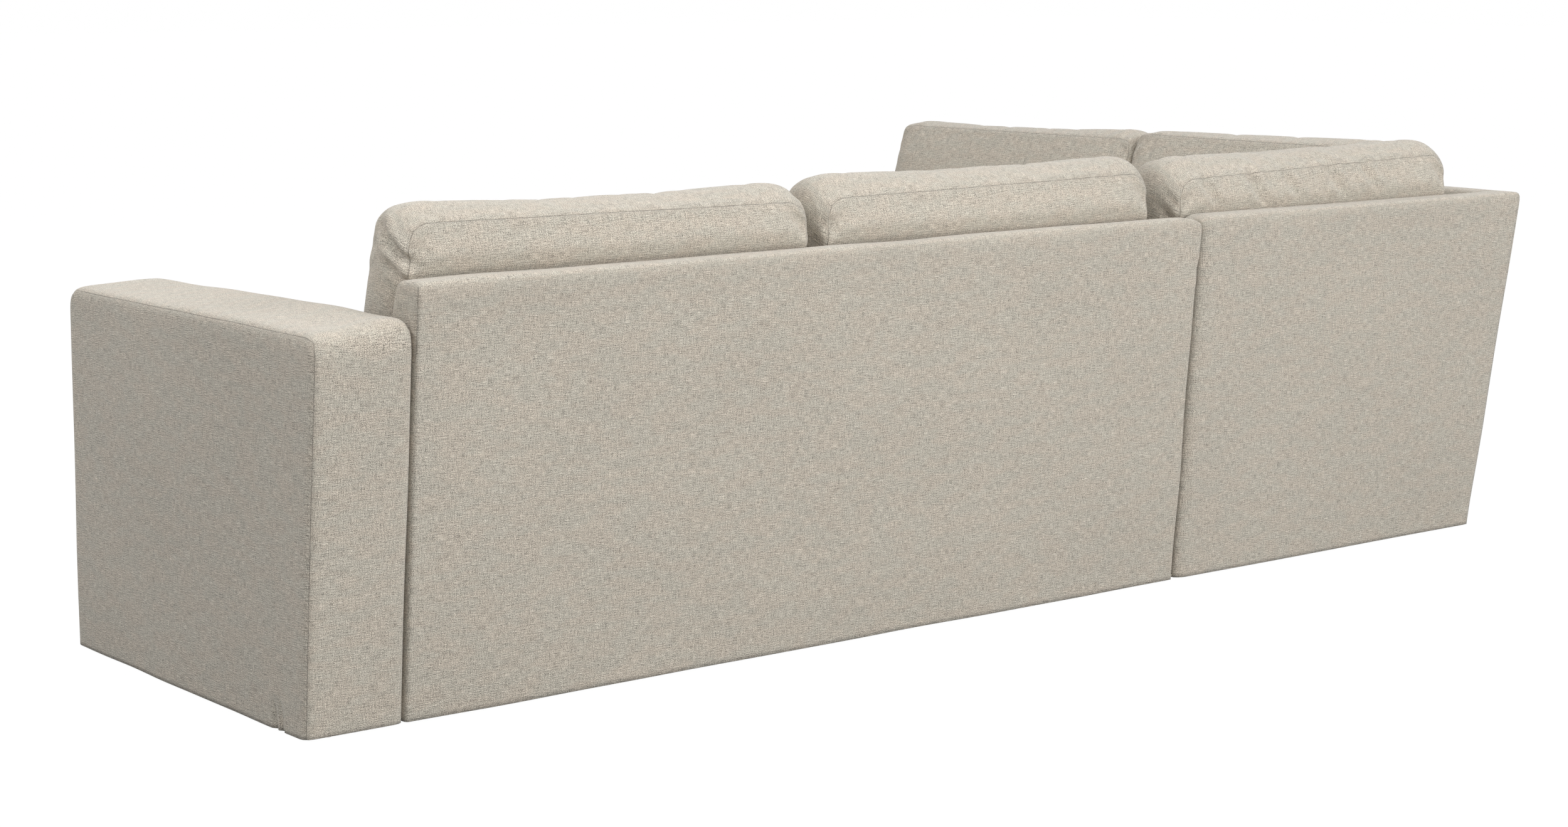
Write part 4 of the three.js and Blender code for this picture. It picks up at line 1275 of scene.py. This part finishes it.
def finish_seat_cushion(name, spec, moves, material):
    obj, size = spec["object"], spec["size"]
    points = coordinates(obj.data)
    if moves is None:
        crown = PLAIN_SEAT_CROWN * bulge(points, size, (0, 1))
        points[:, 2] += crown * points[:, 2] / size[2]
    else:
        points = points + cap_moves(moves, SEAT_CUSHION_CAP)
    set_coordinates(obj.data, points)
    subdivide(obj, 1)
    points = groove(obj.data, coordinates(obj.data))
    z = DECK_HEIGHT + soft_floor(points[:, 2], 0)
    level = np.clip(z, DECK_HEIGHT, SEAT_HEIGHT)
    x = between_edges(points[:, 0], *spec["x"], level)
    y = between_edges(points[:, 1], *spec["y"], level)

    # The sides are pressed flat by the neighbours
    edges = spec["x"][1]
    low = value_at(edges[0], level)
    x = low + soft_floor(x - low, 0)
    if name != "chaise_seat_cushion":
        high = value_at(edges[-1], level)
        x = high - soft_floor(high - x, 0)

    # The back cushions stand on a flat strip along the backs
    strip = smooth_step(cushion_front(SEAT_HEIGHT) + STRIP_MARGIN - y, -0.04, 0.01)
    if name == "chaise_seat_cushion":
        side_strip = smooth_step(x - side_cushion_front(SEAT_HEIGHT) + STRIP_MARGIN, -0.04, 0.01)
        strip = np.maximum(strip, side_strip * smooth_step(SIDE_BACK_DEPTH - y, -0.02, 0.05))
    ceiling = SEAT_HEIGHT - 0.0002
    flat = ceiling - soft_floor(ceiling - z, 0)
    z = z + (np.minimum(flat, z) - z) * strip
    set_coordinates(obj.data, to_frame(np.column_stack([x, y, z])))
    hand_over(obj, name, name, material)


# Decks

DECK_PAD_EDGE = 0.008
DECK_GRID_STEP = 0.03
DECK_DIP = 0.0008
DECK_WAVE_HEIGHT = 0.0004
DECK_WAVES = (0.1, 0.3)


def build_decks(material):
    """Thin padded decks under the seat cushions."""
    front = SOFA_DEPTH - BORDER_LIP_WIDTH - GAP
    rear = rear_in(DECK_HEIGHT) + GAP
    heights = [TUCK_HEIGHT, DECK_HEIGHT - GAP]
    sofa = ([ARM_WIDTH + GAP, SOFA_END], [rear, front], heights)
    lip = shifted(side_out, -BORDER_LIP_WIDTH - GAP)
    chaise = (
        [CHAISE_START + BORDER_LIP_WIDTH + GAP, side_in(DECK_HEIGHT) - GAP, lip],
        [rear, SIDE_BACK_DEPTH + GAP, CHAISE_DEPTH - BORDER_LIP_WIDTH - GAP],
        heights,
    )
    build_deck("sofa_deck_pad", "sofa_unit", sofa, material)
    build_deck("chaise_deck_pad", "chaise_unit", chaise, material, lambda i, j, k: (i == 0) | (j == 1))


def build_deck(node, body, breaks, material, cells=None):
    points, faces, axes, _, _ = grid_surface(breaks, DECK_GRID_STEP, DECK_PAD_EDGE, cells)
    obj = build_object(f"{node}_sewn", points, faces, panel_uv(points, faces, axes))
    subdivide(obj, 1)
    points = coordinates(obj.data)
    top = smooth_step(points[:, 2], DECK_HEIGHT - 0.006, DECK_HEIGHT - 0.001)
    dip = DECK_DIP + waves(points, DECK_WAVE_HEIGHT, DECK_WAVES, seed=21)
    points[:, 2] -= np.maximum(dip, 0) * top
    set_coordinates(obj.data, to_frame(points))
    hand_over(obj, node, body, material)


# The frame inside


def dress_frame():
    """Materials for the CAD nodes that stay, by a word in their names."""
    along_x, upright = (6, 90, 90), (90, 90, 6)
    finishes = {
        "_pad": make_grainy("foam_cells", srgb(206, 190, 140), srgb(238, 226, 184), 900, 0.95, depth=0.0008),
        "_board": make_timber("timber_board", srgb(176, 132, 84), srgb(218, 182, 132), along_x),
        "_rail": make_timber("timber_rail", srgb(182, 140, 92), srgb(224, 190, 142), along_x),
        "_post": make_timber("timber_post", srgb(180, 136, 88), srgb(222, 186, 138), upright),
        "_panel": make_grainy("fibreboard_panel", srgb(118, 88, 58), srgb(156, 122, 86), 500, 0.85),
        "_webbing": make_woven("webbing_straps", srgb(40, 39, 38), srgb(96, 93, 90), 0.004),
        "_dust_cover": make_woven("dust_weave", srgb(20, 20, 21), srgb(44, 44, 46), 0.0025),
        "_connector": make_grainy("plated_steel", srgb(120, 122, 126), srgb(168, 170, 172), 120, 0.4, 1.0),
        "_glide": make_grainy("moulded_glide", srgb(18, 18, 18), srgb(34, 34, 34), 700, 0.55),
    }
    for name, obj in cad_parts.items():
        found = [finish for part, finish in finishes.items() if part in name]
        for slot in range(len(obj.data.materials) if found else 0):
            obj.data.materials[slot] = found[-1]


# Camera, light and floor

CAMERA_PLACE = (3.6453, 5.1222, 1.2398)
CAMERA_YAW = math.radians(38.15)
CAMERA_PITCH = math.radians(7)
CAMERA_LENS = 66.43
CAMERA_SHIFT = -0.0639
WORLD_STRENGTH = 0.58
FLOOR_HALF = 40
FLOOR_GREY = 0.25
FLOOR_GLOW = 1.08
FLOOR_GLOW_SHARE = 0.91

# Area lamps: place, target, sides and power
LAMPS = {
    "key": ((-0.3, 6.0, 3.0), (-0.4, 0.6, 0.4), (5.0, 3.0), 254),
    "top": ((0.0, 0.8, 6.0), (0.0, 0.0, 0.3), (6.0, 6.0), 62),
    "side": ((3.3, 0.3, 3.5), (1.6, 0.4, 0.8), (1.6, 1.6), 58),
    "fill": ((-2.0, -4.0, 5.0), (0.0, 0.0, 0.3), (4.0, 4.0), 60),
}


def aim(obj, direction):
    """Turns a camera or lamp along a direction and links it."""
    obj.rotation_euler = direction.to_track_quat("-Z", "Y").to_euler()
    bpy.context.scene.collection.objects.link(obj)


def add_camera():
    data = bpy.data.cameras.new("camera")
    data.lens = CAMERA_LENS
    data.sensor_width = 36
    data.shift_y = CAMERA_SHIFT
    data.clip_end = 200
    camera = bpy.data.objects.new("camera", data)
    camera.location = CAMERA_PLACE
    level = math.cos(CAMERA_PITCH)
    direction = (-math.sin(CAMERA_YAW) * level, -math.cos(CAMERA_YAW) * level, -math.sin(CAMERA_PITCH))
    aim(camera, Vector(direction))
    bpy.context.scene.camera = camera


def seen_directly(tree):
    """1 for camera, mirror and glass rays, 0 for the rays that light the object."""
    path = add_node(tree, "ShaderNodeLightPath")
    seen = math_node(tree, "MAXIMUM", path.outputs["Is Camera Ray"], path.outputs["Is Glossy Ray"])
    return math_node(tree, "MAXIMUM", seen, path.outputs["Is Transmission Ray"])


def add_world():
    world = bpy.data.worlds.new("studio")
    bpy.context.scene.world = world
    world.use_nodes = True
    tree = world.node_tree
    background = next(n for n in tree.nodes if n.type == "BACKGROUND")
    rise = math_node(tree, "MULTIPLY_ADD", seen_directly(tree), 1 - WORLD_STRENGTH, WORLD_STRENGTH)
    connect(tree, background, {"Color": (1, 1, 1, 1), "Strength": rise})


def add_lamp(name, place, target, sides, power):
    data = bpy.data.lights.new(name, "AREA")
    data.shape = "RECTANGLE"
    data.size, data.size_y = sides
    data.energy = power
    lamp = bpy.data.objects.new(name, data)
    lamp.location = place
    aim(lamp, Vector(target) - Vector(place))


def add_floor():
    corners = FLOOR_HALF * np.array([(-1, -1, 0), (1, -1, 0), (1, 1, 0), (-1, 1, 0)], float)
    floor = build_object("floor", corners, np.array([[0, 1, 2, 3]]))
    material, tree, shader = new_material("pale_floor")
    connect(tree, shader, {"Base Color": (FLOOR_GREY, FLOOR_GREY, FLOOR_GREY, 1), "Roughness": 0.9})
    glow = add_node(tree, "ShaderNodeEmission", {"Color": (1, 1, 1, 1), "Strength": FLOOR_GLOW})
    share = times(tree, seen_directly(tree), FLOOR_GLOW_SHARE)
    output = next(n for n in tree.nodes if n.type == "OUTPUT_MATERIAL")
    mixed = add_node(tree, "ShaderNodeMixShader", {0: share, 1: shader.outputs[0], 2: glow.outputs[0]})
    connect(tree, output, {"Surface": mixed.outputs[0]})
    floor.data.materials.append(material)


add_camera()
add_world()
for name, settings in LAMPS.items():
    add_lamp(name, *settings)
add_floor()
bpy.context.scene.view_settings.view_transform = "Standard"

upholstery = make_upholstery()
build_arm(upholstery)
build_sofa_back(upholstery)
build_chaise_backs(upholstery)
build_sofa_borders(upholstery)
build_chaise_borders(upholstery)
build_cushions(upholstery)
build_decks(make_woven("deck_weave", srgb(140, 132, 120), srgb(176, 168, 156), 0.003))
dress_frame()
